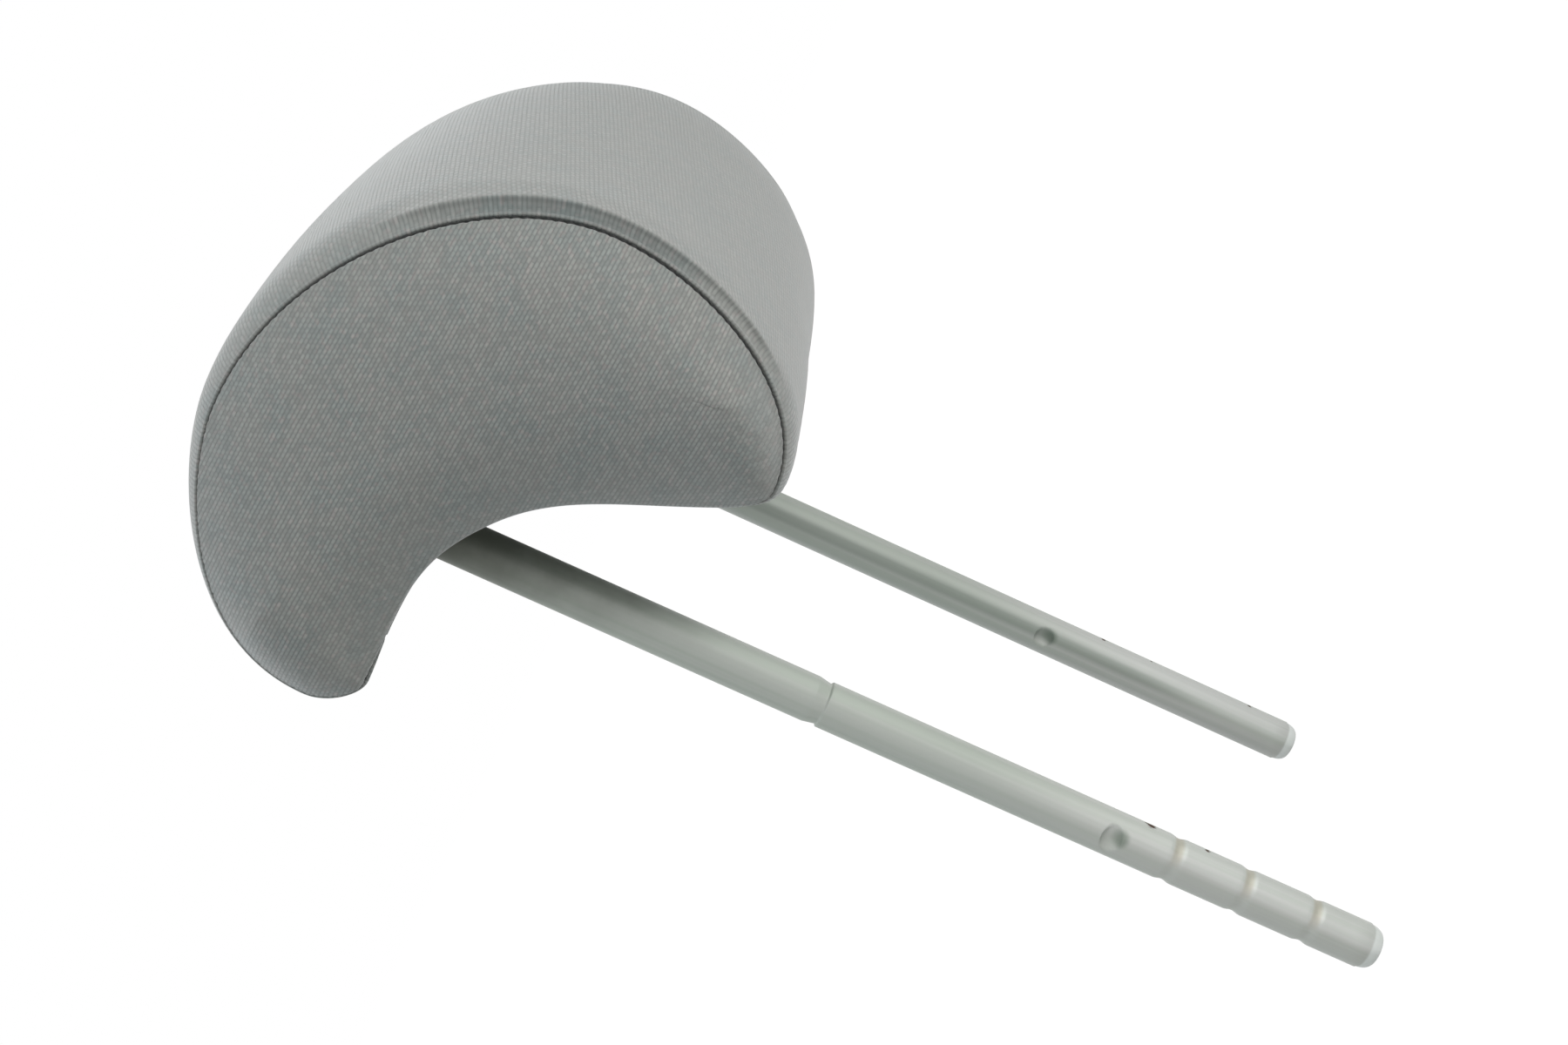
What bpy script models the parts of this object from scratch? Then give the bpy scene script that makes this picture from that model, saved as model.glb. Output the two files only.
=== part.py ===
"""Car headrest with a hanging front lobe, in metres, +Z up.

The origin lies midway between the end faces of the two posts. The posts rise along +Z
into the pad, the left post is at -X, and the side that meets the head looks along -Y.

The pad is one smooth closed surface: an outline in the YZ plane, drawn by curve spans
between named anchors, that is swept across the pad with a fuller middle and closed by a
bulging panel at each side. The cover's panels are pieces of that surface, cut apart at
the seams, and the foam lies under them.
"""
import math
from collections import namedtuple

import bmesh
import bpy
import numpy as np
from mathutils import Matrix, Vector

# Bent bar: the two posts and the cross bar between them
POST_DIAMETER = 0.012
POST_SPACING = 0.140
POST_SHOWING = 0.2609
BAR_ABOVE_UNDERSIDE = 0.0275
BEND_RADIUS = 0.022
TIP_ROUND = 0.0028
BAR_SIDES = 24
BEND_STEPS = 8

# Marks rolled and pressed into the posts, as heights above the tips
NOTCH_HEIGHTS = (0.0205, 0.0398, 0.0597)
NOTCH_DEPTH = 0.0005
NOTCH_WIDTH = 0.0030
STOP_NOTCH_HEIGHT = 0.1567
STOP_NOTCH_DEPTH = 0.0009
STOP_NOTCH_RAMP = 0.0032
STOP_NOTCH_SHOULDER = 0.0005
LEFT_DIMPLE_HEIGHT = 0.0760
RIGHT_DIMPLE_HEIGHT = 0.0855
DIMPLE_DEPTH = 0.0011
DIMPLE_LENGTH = 0.0060
DIMPLE_TURN = math.radians(15)

# Pad outline at the side seams
PAD_FRONT_REACH = 0.0927
PAD_REAR_REACH = 0.0382
BLOCK_HEIGHT = 0.0575
LOBE_DROP = 0.0667
LOBE_TIP_FROM_FRONT = 0.0386
FRONT_BULGE_BELOW_UNDERSIDE = 0.0104
CROWN_AHEAD_OF_POSTS = 0.0173
REAR_BULGE_ABOVE_UNDERSIDE = 0.0126
REAR_TIP_FROM_REAR = 0.0080
CLOSURE_BEHIND_POSTS = 0.0200
BEND_AHEAD_OF_POSTS = 0.0191
BEND_BELOW_UNDERSIDE = 0.0104
BEND_SLOPE = math.radians(39.8)
LOBE_THICKNESS = 0.0484
LOBE_BACK_ABOVE_TIP = 0.0116
LOBE_BACK_SLOPE = math.radians(65.6)

# How far the curve handles reach before and after each anchor
LOBE_TIP_HANDLES = (0.0032, 0.0232)
FRONT_HANDLES = (0.0243, 0.0318)
CROWN_HANDLES = (0.0394, 0.0173)
REAR_HANDLES = (0.0314, 0.0042)
REAR_TIP_HANDLES = (0.0046, 0.0030)
CLOSURE_HANDLES = (0.0030, 0.0150)
BEND_HANDLES = (0.0180, 0.0175)
LOBE_BACK_HANDLES = (0.0211, 0.0078)

# Pad across its width
SEAM_SPACING = 0.208
SIDE_BULGE = 0.0120
SIDE_POWER = 2.2
SHOULDER_RISE = 0.0050
SHOULDER_POWER = 14
TOP_FULLNESS = 0.0030
FACE_FULLNESS = 0.0050
LOBE_TIP_SHOULDER = 0.75
FRONT_SHOULDER = 0.85
REAR_SHOULDER = 0.7

# How far the cover is drawn in between its edges on the hollow side
REAR_TIP_DRAWN_IN = 0.0028
UNDERSIDE_DRAWN_IN = 0.0036
BEND_DRAWN_IN = 0.0032
LOBE_BACK_DRAWN_IN = 0.0020
DRAWN_IN_WIDTH = 0.0200

# How finely the pad's surface is divided
OUTLINE_STEP = 0.0085
OUTLINE_TURN = math.radians(25)
BAND_STATIONS = (0.0, 0.40, 0.68, 0.84, 0.93, 1.0)
SIDE_RINGS = (0.12, 0.30, 0.55, 0.85)

# Middle line of a side panel
SPINE_AT_FRONT = 0.55
SPINE_AT_BEND = 0.85
SPINE_BEND_BACK = 0.40

# Cover
COVER_THICKNESS = 0.0015
COVER_CLEARANCE = 0.0008
SEAM_HALF_GAP = 0.0010
THREAD_DIAMETER = 0.0009
THREAD_CORNER_GAP = 0.0025
STITCH_LINE_FROM_CLOSURE = 0.0045
POST_HOLE_CLEARANCE = 0.0004

# Hooked closing strips, extruded across the pad
STRIP_LENGTH = 0.160
STRIP_THICKNESS = 0.0011
STRIP_PLAY = 0.0004
BAND_STRIP_TAB = 0.0068
BAND_STRIP_HOOK = 0.0035
UNDER_STRIP_TAB = 0.0080
UNDER_STRIP_LIFT = 0.0016
UNDER_STRIP_HOOK = 0.0025
HOOK_OVERLAP = 0.0030

# Moulded core
CORE_FRONT_COVER = 0.0215
CORE_REAR_COVER = 0.0165
CORE_HALF_HEIGHT = 0.0120
CORE_WALL = 0.0025
CORE_END_GAP = 0.0040
CORE_COLUMNS = 4
CORE_ROWS = 4
PADDLE_WIDTH = 0.150
PADDLE_THICKNESS = 0.0040
PADDLE_FOAM_BELOW = 0.0230
PADDLE_CORNER = 0.0120
PADDLE_CORNER_STEPS = 4
ROUND_PROFILE = 0.5
FIT_GAP = 0.0003

# Core screws
SCREW_DIAMETER = 0.0040
SCREW_HEAD_DIAMETER = 0.0075
SCREW_HEAD_HEIGHT = 0.0024
SCREW_BITE = 0.0080
SCREW_FROM_CORE_REAR = 0.0082
SCREW_AHEAD_OF_BAR = 0.0310
SCREW_FROM_CORE_END = 0.0120
SCREW_SIDES = 16
SCREW_POINT_SHARE = 0.5
SCREW_HEAD_EDGE = 0.0012
SCREW_HEAD_ROUND = 0.0013
RECESS_WIDTH = 0.0011
RECESS_SPAN = 0.0042
RECESS_DEPTH = 0.0012

# Places worked out from the sizes above
SEAM_X = SEAM_SPACING / 2
POST_X = POST_SPACING / 2
BAR_RADIUS = POST_DIAMETER / 2
FRONT_Y = -PAD_FRONT_REACH
REAR_Y = PAD_REAR_REACH
UNDER_Z = POST_SHOWING
TOP_Z = UNDER_Z + BLOCK_HEIGHT
LOBE_TIP_Z = UNDER_Z - LOBE_DROP
BAR_Z = UNDER_Z + BAR_ABOVE_UNDERSIDE
CORE_FRONT_Y = FRONT_Y + CORE_FRONT_COVER
CORE_REAR_Y = REAR_Y - CORE_REAR_COVER
CORE_HALF_WIDTH = POST_X - BEND_RADIUS - CORE_END_GAP

Anchor = namedtuple("Anchor", "name y z heading before after fullness spine_y spine_z")
Material = namedtuple("Material", "color roughness metallic")

STEEL = Material((0.42, 0.44, 0.43), 0.45, 0.9)
PLASTIC = Material((0.05, 0.05, 0.055), 0.5, 0.0)
SCREW_STEEL = Material((0.55, 0.56, 0.58), 0.3, 1.0)
FOAM = Material((0.72, 0.68, 0.45), 0.95, 0.0)
BAND_FABRIC = Material((0.42, 0.43, 0.40), 0.95, 0.0)
SIDE_FABRIC = Material((0.27, 0.28, 0.28), 0.95, 0.0)
STRIP_PLASTIC = Material((0.60, 0.60, 0.58), 0.5, 0.0)
THREAD = Material((0.10, 0.10, 0.10), 0.8, 0.0)


def clear_scene():
    for old in list(bpy.data.objects):
        bpy.data.objects.remove(old, do_unlink=True)


def new_collection(name):
    collection = bpy.data.collections.new(name)
    bpy.context.scene.collection.children.link(collection)
    return collection


def add_object(name, data, collection):
    piece = bpy.data.objects.new(name, data)
    collection.objects.link(piece)
    return piece


def mesh_object(name, bm, collection):
    mesh = bpy.data.meshes.new(name)
    bm.to_mesh(mesh)
    bm.free()
    return add_object(name, mesh, collection)


def set_material(piece, look):
    material = bpy.data.materials.new(piece.name)
    material.use_nodes = True
    shader = material.node_tree.nodes["Principled BSDF"]
    shader.inputs["Base Color"].default_value = (*look.color, 1.0)
    shader.inputs["Roughness"].default_value = look.roughness
    shader.inputs["Metallic"].default_value = look.metallic
    piece.data.materials.clear()
    piece.data.materials.append(material)
    return piece


def smooth(piece, degrees=40):
    piece.data.shade_smooth()
    piece.data.set_sharp_from_angle(angle=math.radians(degrees))
    return piece


def evaluated_mesh(piece):
    """A copy of the piece's mesh with its modifiers or its curve's thickness made real."""
    bpy.context.view_layer.update()
    return bpy.data.meshes.new_from_object(piece.evaluated_get(bpy.context.evaluated_depsgraph_get()))


def tube(name, points, radii, sides, collection, cyclic=False):
    """A round bar along the points, whose ends are closed, as a mesh.

    Each point's radius is given to the curve as a factor of the largest one.
    """
    curve = bpy.data.curves.new(name, "CURVE")
    curve.dimensions = "3D"
    curve.bevel_depth = max(radii)
    curve.bevel_resolution = (sides - 4) // 2
    curve.use_fill_caps = not cyclic
    spline = curve.splines.new("POLY")
    spline.points.add(len(points) - 1)
    spline.use_cyclic_u = cyclic
    for target, point, radius in zip(spline.points, points, radii):
        target.co = (*point, 1.0)
        target.radius = radius / max(radii)
    guide = add_object(name + "_curve", curve, collection)
    bm = bmesh.new()
    bm.from_mesh(evaluated_mesh(guide))
    bmesh.ops.remove_doubles(bm, verts=bm.verts, dist=0.00001)
    bpy.data.objects.remove(guide, do_unlink=True)
    return mesh_object(name, bm, collection)


def add_box(bm, low, high):
    low, high = Vector(low), Vector(high)
    size = high - low
    place = Matrix.Translation((low + high) / 2) @ Matrix.Diagonal((*size, 1.0))
    bmesh.ops.create_cube(bm, size=1.0, matrix=place)


def add_cylinder(bm, radius, low, high, x, y, sides):
    place = Matrix.Translation((x, y, (low + high) / 2))
    bmesh.ops.create_cone(bm, cap_ends=True, segments=sides, radius1=radius, radius2=radius,
                          depth=high - low, matrix=place)


def as_cutter(piece):
    piece.hide_render = True
    piece.display_type = "WIRE"
    return piece


def combine(piece, other, operation):
    modifier = piece.modifiers.new(other.name, "BOOLEAN")
    modifier.operation = operation
    modifier.solver = "EXACT"
    modifier.object = other
    return piece


def between(start, end, share):
    return start + (end - start) * share


def eased(share):
    """The share with a level start and a level end."""
    return share * share * (3 - 2 * share)


def outline_anchors():
    """The outline's anchors in order: lobe tip, front, crown, rear, underside, lobe back.

    A heading of 0 points along +Y. The fullness is how far the cover stands out between its
    edges there, and is less than 0 where it is drawn in. The spine is the inner point that
    the side panel's rings close in on.
    """
    lobe_y = FRONT_Y + LOBE_THICKNESS / 2
    block_z = UNDER_Z + BLOCK_HEIGHT / 2
    tip_spine_z = LOBE_TIP_Z + LOBE_THICKNESS / 2
    rear_spine_y = REAR_Y - BLOCK_HEIGHT / 2
    return (
        Anchor("lobe_tip", FRONT_Y + LOBE_TIP_FROM_FRONT, LOBE_TIP_Z, math.pi,
               *LOBE_TIP_HANDLES, LOBE_TIP_SHOULDER * SHOULDER_RISE, lobe_y, tip_spine_z),
        Anchor("front", FRONT_Y, UNDER_Z - FRONT_BULGE_BELOW_UNDERSIDE, math.pi / 2,
               *FRONT_HANDLES, FRONT_SHOULDER * SHOULDER_RISE, lobe_y,
               between(tip_spine_z, block_z, SPINE_AT_FRONT)),
        Anchor("crown", -CROWN_AHEAD_OF_POSTS, TOP_Z, 0.0,
               *CROWN_HANDLES, SHOULDER_RISE, -CROWN_AHEAD_OF_POSTS, block_z),
        Anchor("rear", REAR_Y, UNDER_Z + REAR_BULGE_ABOVE_UNDERSIDE, -math.pi / 2,
               *REAR_HANDLES, REAR_SHOULDER * SHOULDER_RISE, rear_spine_y, block_z),
        Anchor("rear_tip", REAR_Y - REAR_TIP_FROM_REAR, UNDER_Z, math.pi,
               *REAR_TIP_HANDLES, -REAR_TIP_DRAWN_IN, rear_spine_y, block_z),
        Anchor("closure", CLOSURE_BEHIND_POSTS, UNDER_Z, math.pi,
               *CLOSURE_HANDLES, -UNDERSIDE_DRAWN_IN, rear_spine_y, block_z),
        Anchor("bend", -BEND_AHEAD_OF_POSTS, UNDER_Z - BEND_BELOW_UNDERSIDE,
               math.pi + BEND_SLOPE, *BEND_HANDLES, -BEND_DRAWN_IN,
               between(lobe_y, -CROWN_AHEAD_OF_POSTS, SPINE_BEND_BACK),
               between(tip_spine_z, block_z, SPINE_AT_BEND)),
        Anchor("lobe_back", FRONT_Y + LOBE_THICKNESS, LOBE_TIP_Z + LOBE_BACK_ABOVE_TIP,
               math.pi + LOBE_BACK_SLOPE, *LOBE_BACK_HANDLES, -LOBE_BACK_DRAWN_IN, lobe_y, tip_spine_z),
    )


def span_points(start, end):
    """Points, headings' normals, fullness and spine along one curve span, without its end."""
    first = np.array((start.y, start.z))
    last = np.array((end.y, end.z))
    leave = start.after * np.array((math.cos(start.heading), math.sin(start.heading)))
    arrive = end.before * np.array((math.cos(end.heading), math.sin(end.heading)))
    turn = abs((end.heading - start.heading + math.pi) % math.tau - math.pi)
    steps = math.ceil(max(np.linalg.norm(last - first) / OUTLINE_STEP, turn / OUTLINE_TURN))
    t = (np.arange(steps) / steps)[:, None]
    second, third = first + leave, last - arrive
    points = ((1 - t) ** 3 * first + 3 * t * (1 - t) ** 2 * second
              + 3 * t * t * (1 - t) * third + t ** 3 * last)
    slope = (1 - t) ** 2 * (second - first) + 2 * t * (1 - t) * (third - second) + t * t * (last - third)
    slope /= np.linalg.norm(slope, axis=1)[:, None]
    normals = np.stack((-slope[:, 1], slope[:, 0]), axis=1)
    ease = eased(t)[:, 0]
    fullness = between(start.fullness, end.fullness, ease)
    spine = between(np.array((start.spine_y, start.spine_z)), np.array((end.spine_y, end.spine_z)), t)
    return points, normals, fullness, spine


def outline_loop():
    """The whole outline, and the loop index at which each anchor lies."""
    anchors = outline_anchors()
    spans = [span_points(anchor, anchors[(i + 1) % len(anchors)]) for i, anchor in enumerate(anchors)]
    starts = np.cumsum([0] + [len(span[0]) for span in spans])
    index = {anchor.name: int(start) for anchor, start in zip(anchors, starts)}
    return [np.concatenate(field) for field in zip(*spans)], index


def band_row(across, loop):
    """The outline pushed outward for a place across the pad, from -1 at the left seam to 1.

    Where the fullness is above 0 it is reached by a steep shoulder, and where it is below 0
    by a slope with level ends.
    """
    points, normals, fullness, _ = loop
    upward = np.clip(normals[:, 1], 0, 1)
    forward = np.clip(-normals[:, 0], 0, 1)
    crown = TOP_FULLNESS * upward ** 2 + FACE_FULLNESS * 4 * (upward * forward) ** 2
    shoulder = 1 - abs(across) ** SHOULDER_POWER
    slope = eased(min(SEAM_X * (1 - abs(across)) / DRAWN_IN_WIDTH, 1.0))
    rise = fullness * np.where(fullness > 0, shoulder, slope) + crown * (1 - across ** 2)
    pushed = points + normals * rise[:, None]
    return np.column_stack((np.full(len(points), across * SEAM_X), pushed))


def side_ring(share, loop, side):
    """The outline drawn in towards the spine by a share, on the bulging side panel."""
    points, _, _, spine = loop
    bulge = SIDE_BULGE * (1 - (1 - share) ** SIDE_POWER)
    across = np.full(len(points), side * (SEAM_X + bulge))
    return np.column_stack((across, between(points, spine, share)))


def drawn_back(rows, gap):
    """The rows with the first one moved towards the second by the gap, to open a seam."""
    rows = [row.copy() for row in rows]
    step = rows[1] - rows[0]
    rows[0] += gap * step / np.linalg.norm(step, axis=1)[:, None]
    return rows


def opened_both_ends(rows, gap):
    return drawn_back(drawn_back(rows, gap)[::-1], gap)[::-1]


def add_rows(bm, rows, closed, flip=False):
    """Square faces between neighbouring rows of points; closed rows join their own ends."""
    verts = [[bm.verts.new(point) for point in row] for row in rows]
    columns = len(rows[0])
    for lower, upper in zip(verts, verts[1:]):
        for i in range(columns if closed else columns - 1):
            j = (i + 1) % columns
            corners = (lower[i], lower[j], upper[j], upper[i])
            bm.faces.new(corners[::-1] if flip else corners)
    return verts


def solidified(piece):
    """Cover fabric: thickness is added inward, which leaves the outer surface in place."""
    shell = piece.modifiers.new("Fabric", "SOLIDIFY")
    shell.thickness = COVER_THICKNESS
    shell.offset = -1.0
    shell.use_even_offset = True
    return piece


def across_stations():
    return [-x for x in BAND_STATIONS[:0:-1]] + list(BAND_STATIONS)


def cover_strip(name, loop, first, last, collection):
    """The part of the cover between the side seams, from one loop index to another."""
    count = len(loop[0])
    picked = [i % count for i in range(first, last + 1)]
    rows = [band_row(across, loop)[picked] for across in across_stations()]
    rows = opened_both_ends(rows, SEAM_HALF_GAP)
    columns = opened_both_ends(list(np.stack(rows, axis=1)), SEAM_HALF_GAP)
    bm = bmesh.new()
    add_rows(bm, columns, closed=False)
    return set_material(smooth(solidified(mesh_object(name, bm, collection))), BAND_FABRIC)


def cover_side(name, loop, side, collection):
    rings = [side_ring(share, loop, side) for share in (0.0, *SIDE_RINGS)]
    bm = bmesh.new()
    verts = add_rows(bm, drawn_back(rings, SEAM_HALF_GAP), closed=True, flip=side > 0)
    bm.faces.new(verts[-1] if side < 0 else verts[-1][::-1])
    return set_material(smooth(solidified(mesh_object(name, bm, collection))), SIDE_FABRIC)


def foam_surface(loop, collection):
    """The closed pad surface, moved inward to lie under the cover."""
    rings = [side_ring(share, loop, -1) for share in SIDE_RINGS[::-1]]
    rings += [band_row(across, loop) for across in across_stations()]
    rings += [side_ring(share, loop, 1) for share in SIDE_RINGS]
    bm = bmesh.new()
    verts = add_rows(bm, rings, closed=True)
    bm.faces.new(verts[0][::-1])
    bm.faces.new(verts[-1])
    bmesh.ops.recalc_face_normals(bm, faces=bm.faces)
    bm.normal_update()
    inset = COVER_THICKNESS + COVER_CLEARANCE
    moved = [vert.co - vert.normal * inset * vert.calc_shell_factor() for vert in bm.verts]
    for vert, place in zip(bm.verts, moved):
        vert.co = place
    return mesh_object("foam_pad", bm, collection)


def notch_stations():
    """Heights and radii of the left post's ring grooves, from the tip up."""
    stations = []
    for height in NOTCH_HEIGHTS:
        stations += [(height - NOTCH_WIDTH / 2, 0.0), (height - NOTCH_WIDTH / 5, NOTCH_DEPTH),
                     (height + NOTCH_WIDTH / 5, NOTCH_DEPTH), (height + NOTCH_WIDTH / 2, 0.0)]
    stop = STOP_NOTCH_HEIGHT
    stations += [(stop - STOP_NOTCH_SHOULDER, 0.0), (stop, STOP_NOTCH_DEPTH),
                 (stop + STOP_NOTCH_RAMP, 0.0)]
    return [(height, BAR_RADIUS - depth) for height, depth in stations]


def tip_stations():
    """A quarter-round edge between the flat end face and the post's side."""
    turns = (math.pi / 2 * i / 4 for i in range(5))
    return [(TIP_ROUND * (1 - math.sin(turn)), BAR_RADIUS - TIP_ROUND * (1 - math.cos(turn)))
            for turn in turns][::-1]


def bar_route(grooved):
    """Points and radii along the bent bar, from the left tip to the right one."""
    straight_top = BAR_Z - BEND_RADIUS
    left = tip_stations() + (notch_stations() if grooved else [])
    right = tip_stations()
    points = [(-POST_X, 0.0, height) for height, _ in left]
    radii = [radius for _, radius in left]
    for side in (-1, 1):
        turns = [math.pi / 2 * i / BEND_STEPS for i in range(BEND_STEPS + 1)]
        bend = [(side * (POST_X - BEND_RADIUS * (1 - math.cos(turn))), 0.0,
                 straight_top + BEND_RADIUS * math.sin(turn)) for turn in turns]
        points += bend if side < 0 else bend[::-1]
        radii += [BAR_RADIUS] * len(bend)
    points += [(POST_X, 0.0, height) for height, _ in right[::-1]]
    radii += [radius for _, radius in right[::-1]]
    return points, radii


def dimple_cutter(name, side, height, collection):
    """A ball that bites a shallow round dimple in the post's outer left, a little to the rear."""
    half = DIMPLE_LENGTH / 2
    ball = (half * half + DIMPLE_DEPTH * DIMPLE_DEPTH) / (2 * DIMPLE_DEPTH)
    away = BAR_RADIUS + ball - DIMPLE_DEPTH
    place = Matrix.Translation((side * POST_X - away * math.cos(DIMPLE_TURN),
                                away * math.sin(DIMPLE_TURN), height))
    bm = bmesh.new()
    bmesh.ops.create_uvsphere(bm, u_segments=24, v_segments=24, radius=ball, matrix=place)
    return as_cutter(mesh_object(name, bm, collection))


def make_post_frame(collection, cutters):
    points, radii = bar_route(grooved=True)
    frame = tube("post_frame", points, radii, BAR_SIDES, collection)
    combine(frame, dimple_cutter("cut_left_dimple", -1, LEFT_DIMPLE_HEIGHT, cutters), "DIFFERENCE")
    combine(frame, dimple_cutter("cut_right_dimple", 1, RIGHT_DIMPLE_HEIGHT, cutters), "DIFFERENCE")
    set_material(smooth(frame), STEEL)


def bar_cutter(name, clearance, cutters):
    """The bar's own route, thicker by a clearance all round, to cut its channel."""
    points, _ = bar_route(grooved=False)
    points = points[len(tip_stations()) - 1:1 - len(tip_stations())]
    return as_cutter(tube(name, points, [BAR_RADIUS + clearance] * len(points), BAR_SIDES, cutters))


def core_screw_places():
    """Name, x and y of each screw of the core."""
    rear = CORE_REAR_Y - SCREW_FROM_CORE_REAR
    places = []
    end = CORE_HALF_WIDTH - SCREW_FROM_CORE_END
    for row, y in (("front", -SCREW_AHEAD_OF_BAR), ("rear", rear)):
        for side, x in (("left", -end), ("right", end)):
            places.append((f"core_screw_{row}_{side}", x, y))
    return places


def core_cells(front, rear, low, high):
    """Pockets between a core half's ribs, less those whose place a screw boss takes."""
    bm = bmesh.new()
    column = (2 * CORE_HALF_WIDTH - CORE_WALL) / CORE_COLUMNS
    row = (rear - front - CORE_WALL) / CORE_ROWS
    boss = SCREW_HEAD_DIAMETER / 2 + CORE_WALL
    for i in range(CORE_COLUMNS):
        for j in range(CORE_ROWS):
            x = -CORE_HALF_WIDTH + CORE_WALL + i * column
            y = front + CORE_WALL + j * row
            width, length = column - CORE_WALL, row - CORE_WALL
            taken = any(x - boss < screw_x < x + width + boss and y - boss < screw_y < y + length + boss
                        for _, screw_x, screw_y in core_screw_places())
            if not taken:
                add_box(bm, (x, y, low), (x + width, y + length, high))
    return bm


def make_core_upper(collection, cutters):
    low = BAR_Z + FIT_GAP / 2
    high = BAR_Z + CORE_HALF_HEIGHT
    bm = bmesh.new()
    add_box(bm, (-CORE_HALF_WIDTH, CORE_FRONT_Y + PADDLE_THICKNESS / 2, low),
            (CORE_HALF_WIDTH, CORE_REAR_Y, high))
    core = mesh_object("core_upper", bm, collection)
    paddle = bmesh.new()
    foot = LOBE_TIP_Z + PADDLE_FOAM_BELOW
    add_box(paddle, (-PADDLE_WIDTH / 2, CORE_FRONT_Y, foot),
            (PADDLE_WIDTH / 2, CORE_FRONT_Y + PADDLE_THICKNESS, high))
    corners = [edge for edge in paddle.edges
               if abs(edge.verts[0].co.y - edge.verts[1].co.y) > PADDLE_THICKNESS / 2]
    bmesh.ops.bevel(paddle, geom=corners, offset=PADDLE_CORNER, segments=PADDLE_CORNER_STEPS,
                    profile=ROUND_PROFILE, affect="EDGES")
    combine(core, as_cutter(mesh_object("join_paddle", paddle, cutters)), "UNION")
    cells = core_cells(CORE_FRONT_Y + PADDLE_THICKNESS, CORE_REAR_Y, low - CORE_WALL, high - CORE_WALL)
    combine(core, as_cutter(mesh_object("cut_upper_cells", cells, cutters)), "DIFFERENCE")
    holes = bmesh.new()
    for _, x, y in core_screw_places():
        add_cylinder(holes, SCREW_DIAMETER / 2 + FIT_GAP, low - CORE_WALL,
                     BAR_Z + SCREW_BITE + FIT_GAP, x, y, SCREW_SIDES)
    combine(core, as_cutter(mesh_object("cut_upper_holes", holes, cutters)), "DIFFERENCE")
    combine(core, bpy.data.objects["cut_bar"], "DIFFERENCE")
    set_material(smooth(core, 30), PLASTIC)


def screw_seat_z():
    return BAR_Z - CORE_HALF_HEIGHT + SCREW_HEAD_HEIGHT + FIT_GAP


def make_core_lower(collection, cutters):
    low = BAR_Z - CORE_HALF_HEIGHT
    high = BAR_Z - FIT_GAP / 2
    front = CORE_FRONT_Y + PADDLE_THICKNESS + FIT_GAP
    bm = bmesh.new()
    add_box(bm, (-CORE_HALF_WIDTH, front, low), (CORE_HALF_WIDTH, CORE_REAR_Y, high))
    core = mesh_object("core_lower", bm, collection)
    cells = core_cells(front, CORE_REAR_Y, low + CORE_WALL, high + CORE_WALL)
    combine(core, as_cutter(mesh_object("cut_lower_cells", cells, cutters)), "DIFFERENCE")
    holes, seats = bmesh.new(), bmesh.new()
    for _, x, y in core_screw_places():
        add_cylinder(holes, SCREW_DIAMETER / 2 + FIT_GAP, low - CORE_WALL, high + CORE_WALL,
                     x, y, SCREW_SIDES)
        add_cylinder(seats, SCREW_HEAD_DIAMETER / 2 + FIT_GAP, low - CORE_WALL, screw_seat_z(),
                     x, y, SCREW_SIDES)
    combine(core, as_cutter(mesh_object("cut_lower_holes", holes, cutters)), "DIFFERENCE")
    combine(core, as_cutter(mesh_object("cut_screw_seats", seats, cutters)), "DIFFERENCE")
    combine(core, bpy.data.objects["cut_bar"], "DIFFERENCE")
    set_material(smooth(core, 30), PLASTIC)


def make_screws(collection, cutters):
    """Pan-head screws from below, with a cross recess in the head."""
    top = BAR_Z + SCREW_BITE
    seat = screw_seat_z() - FIT_GAP
    head = seat - SCREW_HEAD_HEIGHT
    shank = SCREW_DIAMETER / 2
    profile = ((0.0, top), (shank * SCREW_POINT_SHARE, top), (shank, top - shank), (shank, seat),
               (SCREW_HEAD_DIAMETER / 2, seat), (SCREW_HEAD_DIAMETER / 2, seat - SCREW_HEAD_EDGE),
               (SCREW_HEAD_DIAMETER / 2 - SCREW_HEAD_ROUND, head), (0.0, head))
    for name, x, y in core_screw_places():
        bm = bmesh.new()
        verts = [bm.verts.new((radius, 0.0, z)) for radius, z in profile]
        for first, second in zip(verts, verts[1:]):
            bm.edges.new((first, second))
        screw = mesh_object(name, bm, collection)
        turn = screw.modifiers.new("Turned", "SCREW")
        turn.steps = turn.render_steps = SCREW_SIDES
        turn.use_merge_vertices = True
        turn.merge_threshold = 0.00001
        screw.location = (x, y, 0.0)
        for across, along in ((RECESS_SPAN, RECESS_WIDTH), (RECESS_WIDTH, RECESS_SPAN)):
            slot = bmesh.new()
            add_box(slot, (x - across / 2, y - along / 2, head - RECESS_DEPTH),
                    (x + across / 2, y + along / 2, head + RECESS_DEPTH))
            cutter = mesh_object(f"cut_{name}_{across > along}", slot, cutters)
            combine(screw, as_cutter(cutter), "DIFFERENCE")
        set_material(smooth(screw), SCREW_STEEL)


def strip_layer(level):
    """Height of the middle of a strip's layer above the cover's inner face."""
    floor = UNDER_Z + UNDERSIDE_DRAWN_IN + COVER_THICKNESS + STRIP_PLAY + STRIP_THICKNESS / 2
    return floor + level * (STRIP_THICKNESS + STRIP_PLAY)


def band_strip_profile():
    """The hook sewn to the band: a tab to the rear, and a hook that opens to the rear."""
    y = CLOSURE_BEHIND_POSTS
    lip = y - BAND_STRIP_HOOK + HOOK_OVERLAP
    return ((y + BAND_STRIP_TAB, strip_layer(0)), (y - BAND_STRIP_HOOK, strip_layer(0)),
            (y - BAND_STRIP_HOOK, strip_layer(2)), (lip, strip_layer(2)))


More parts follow.
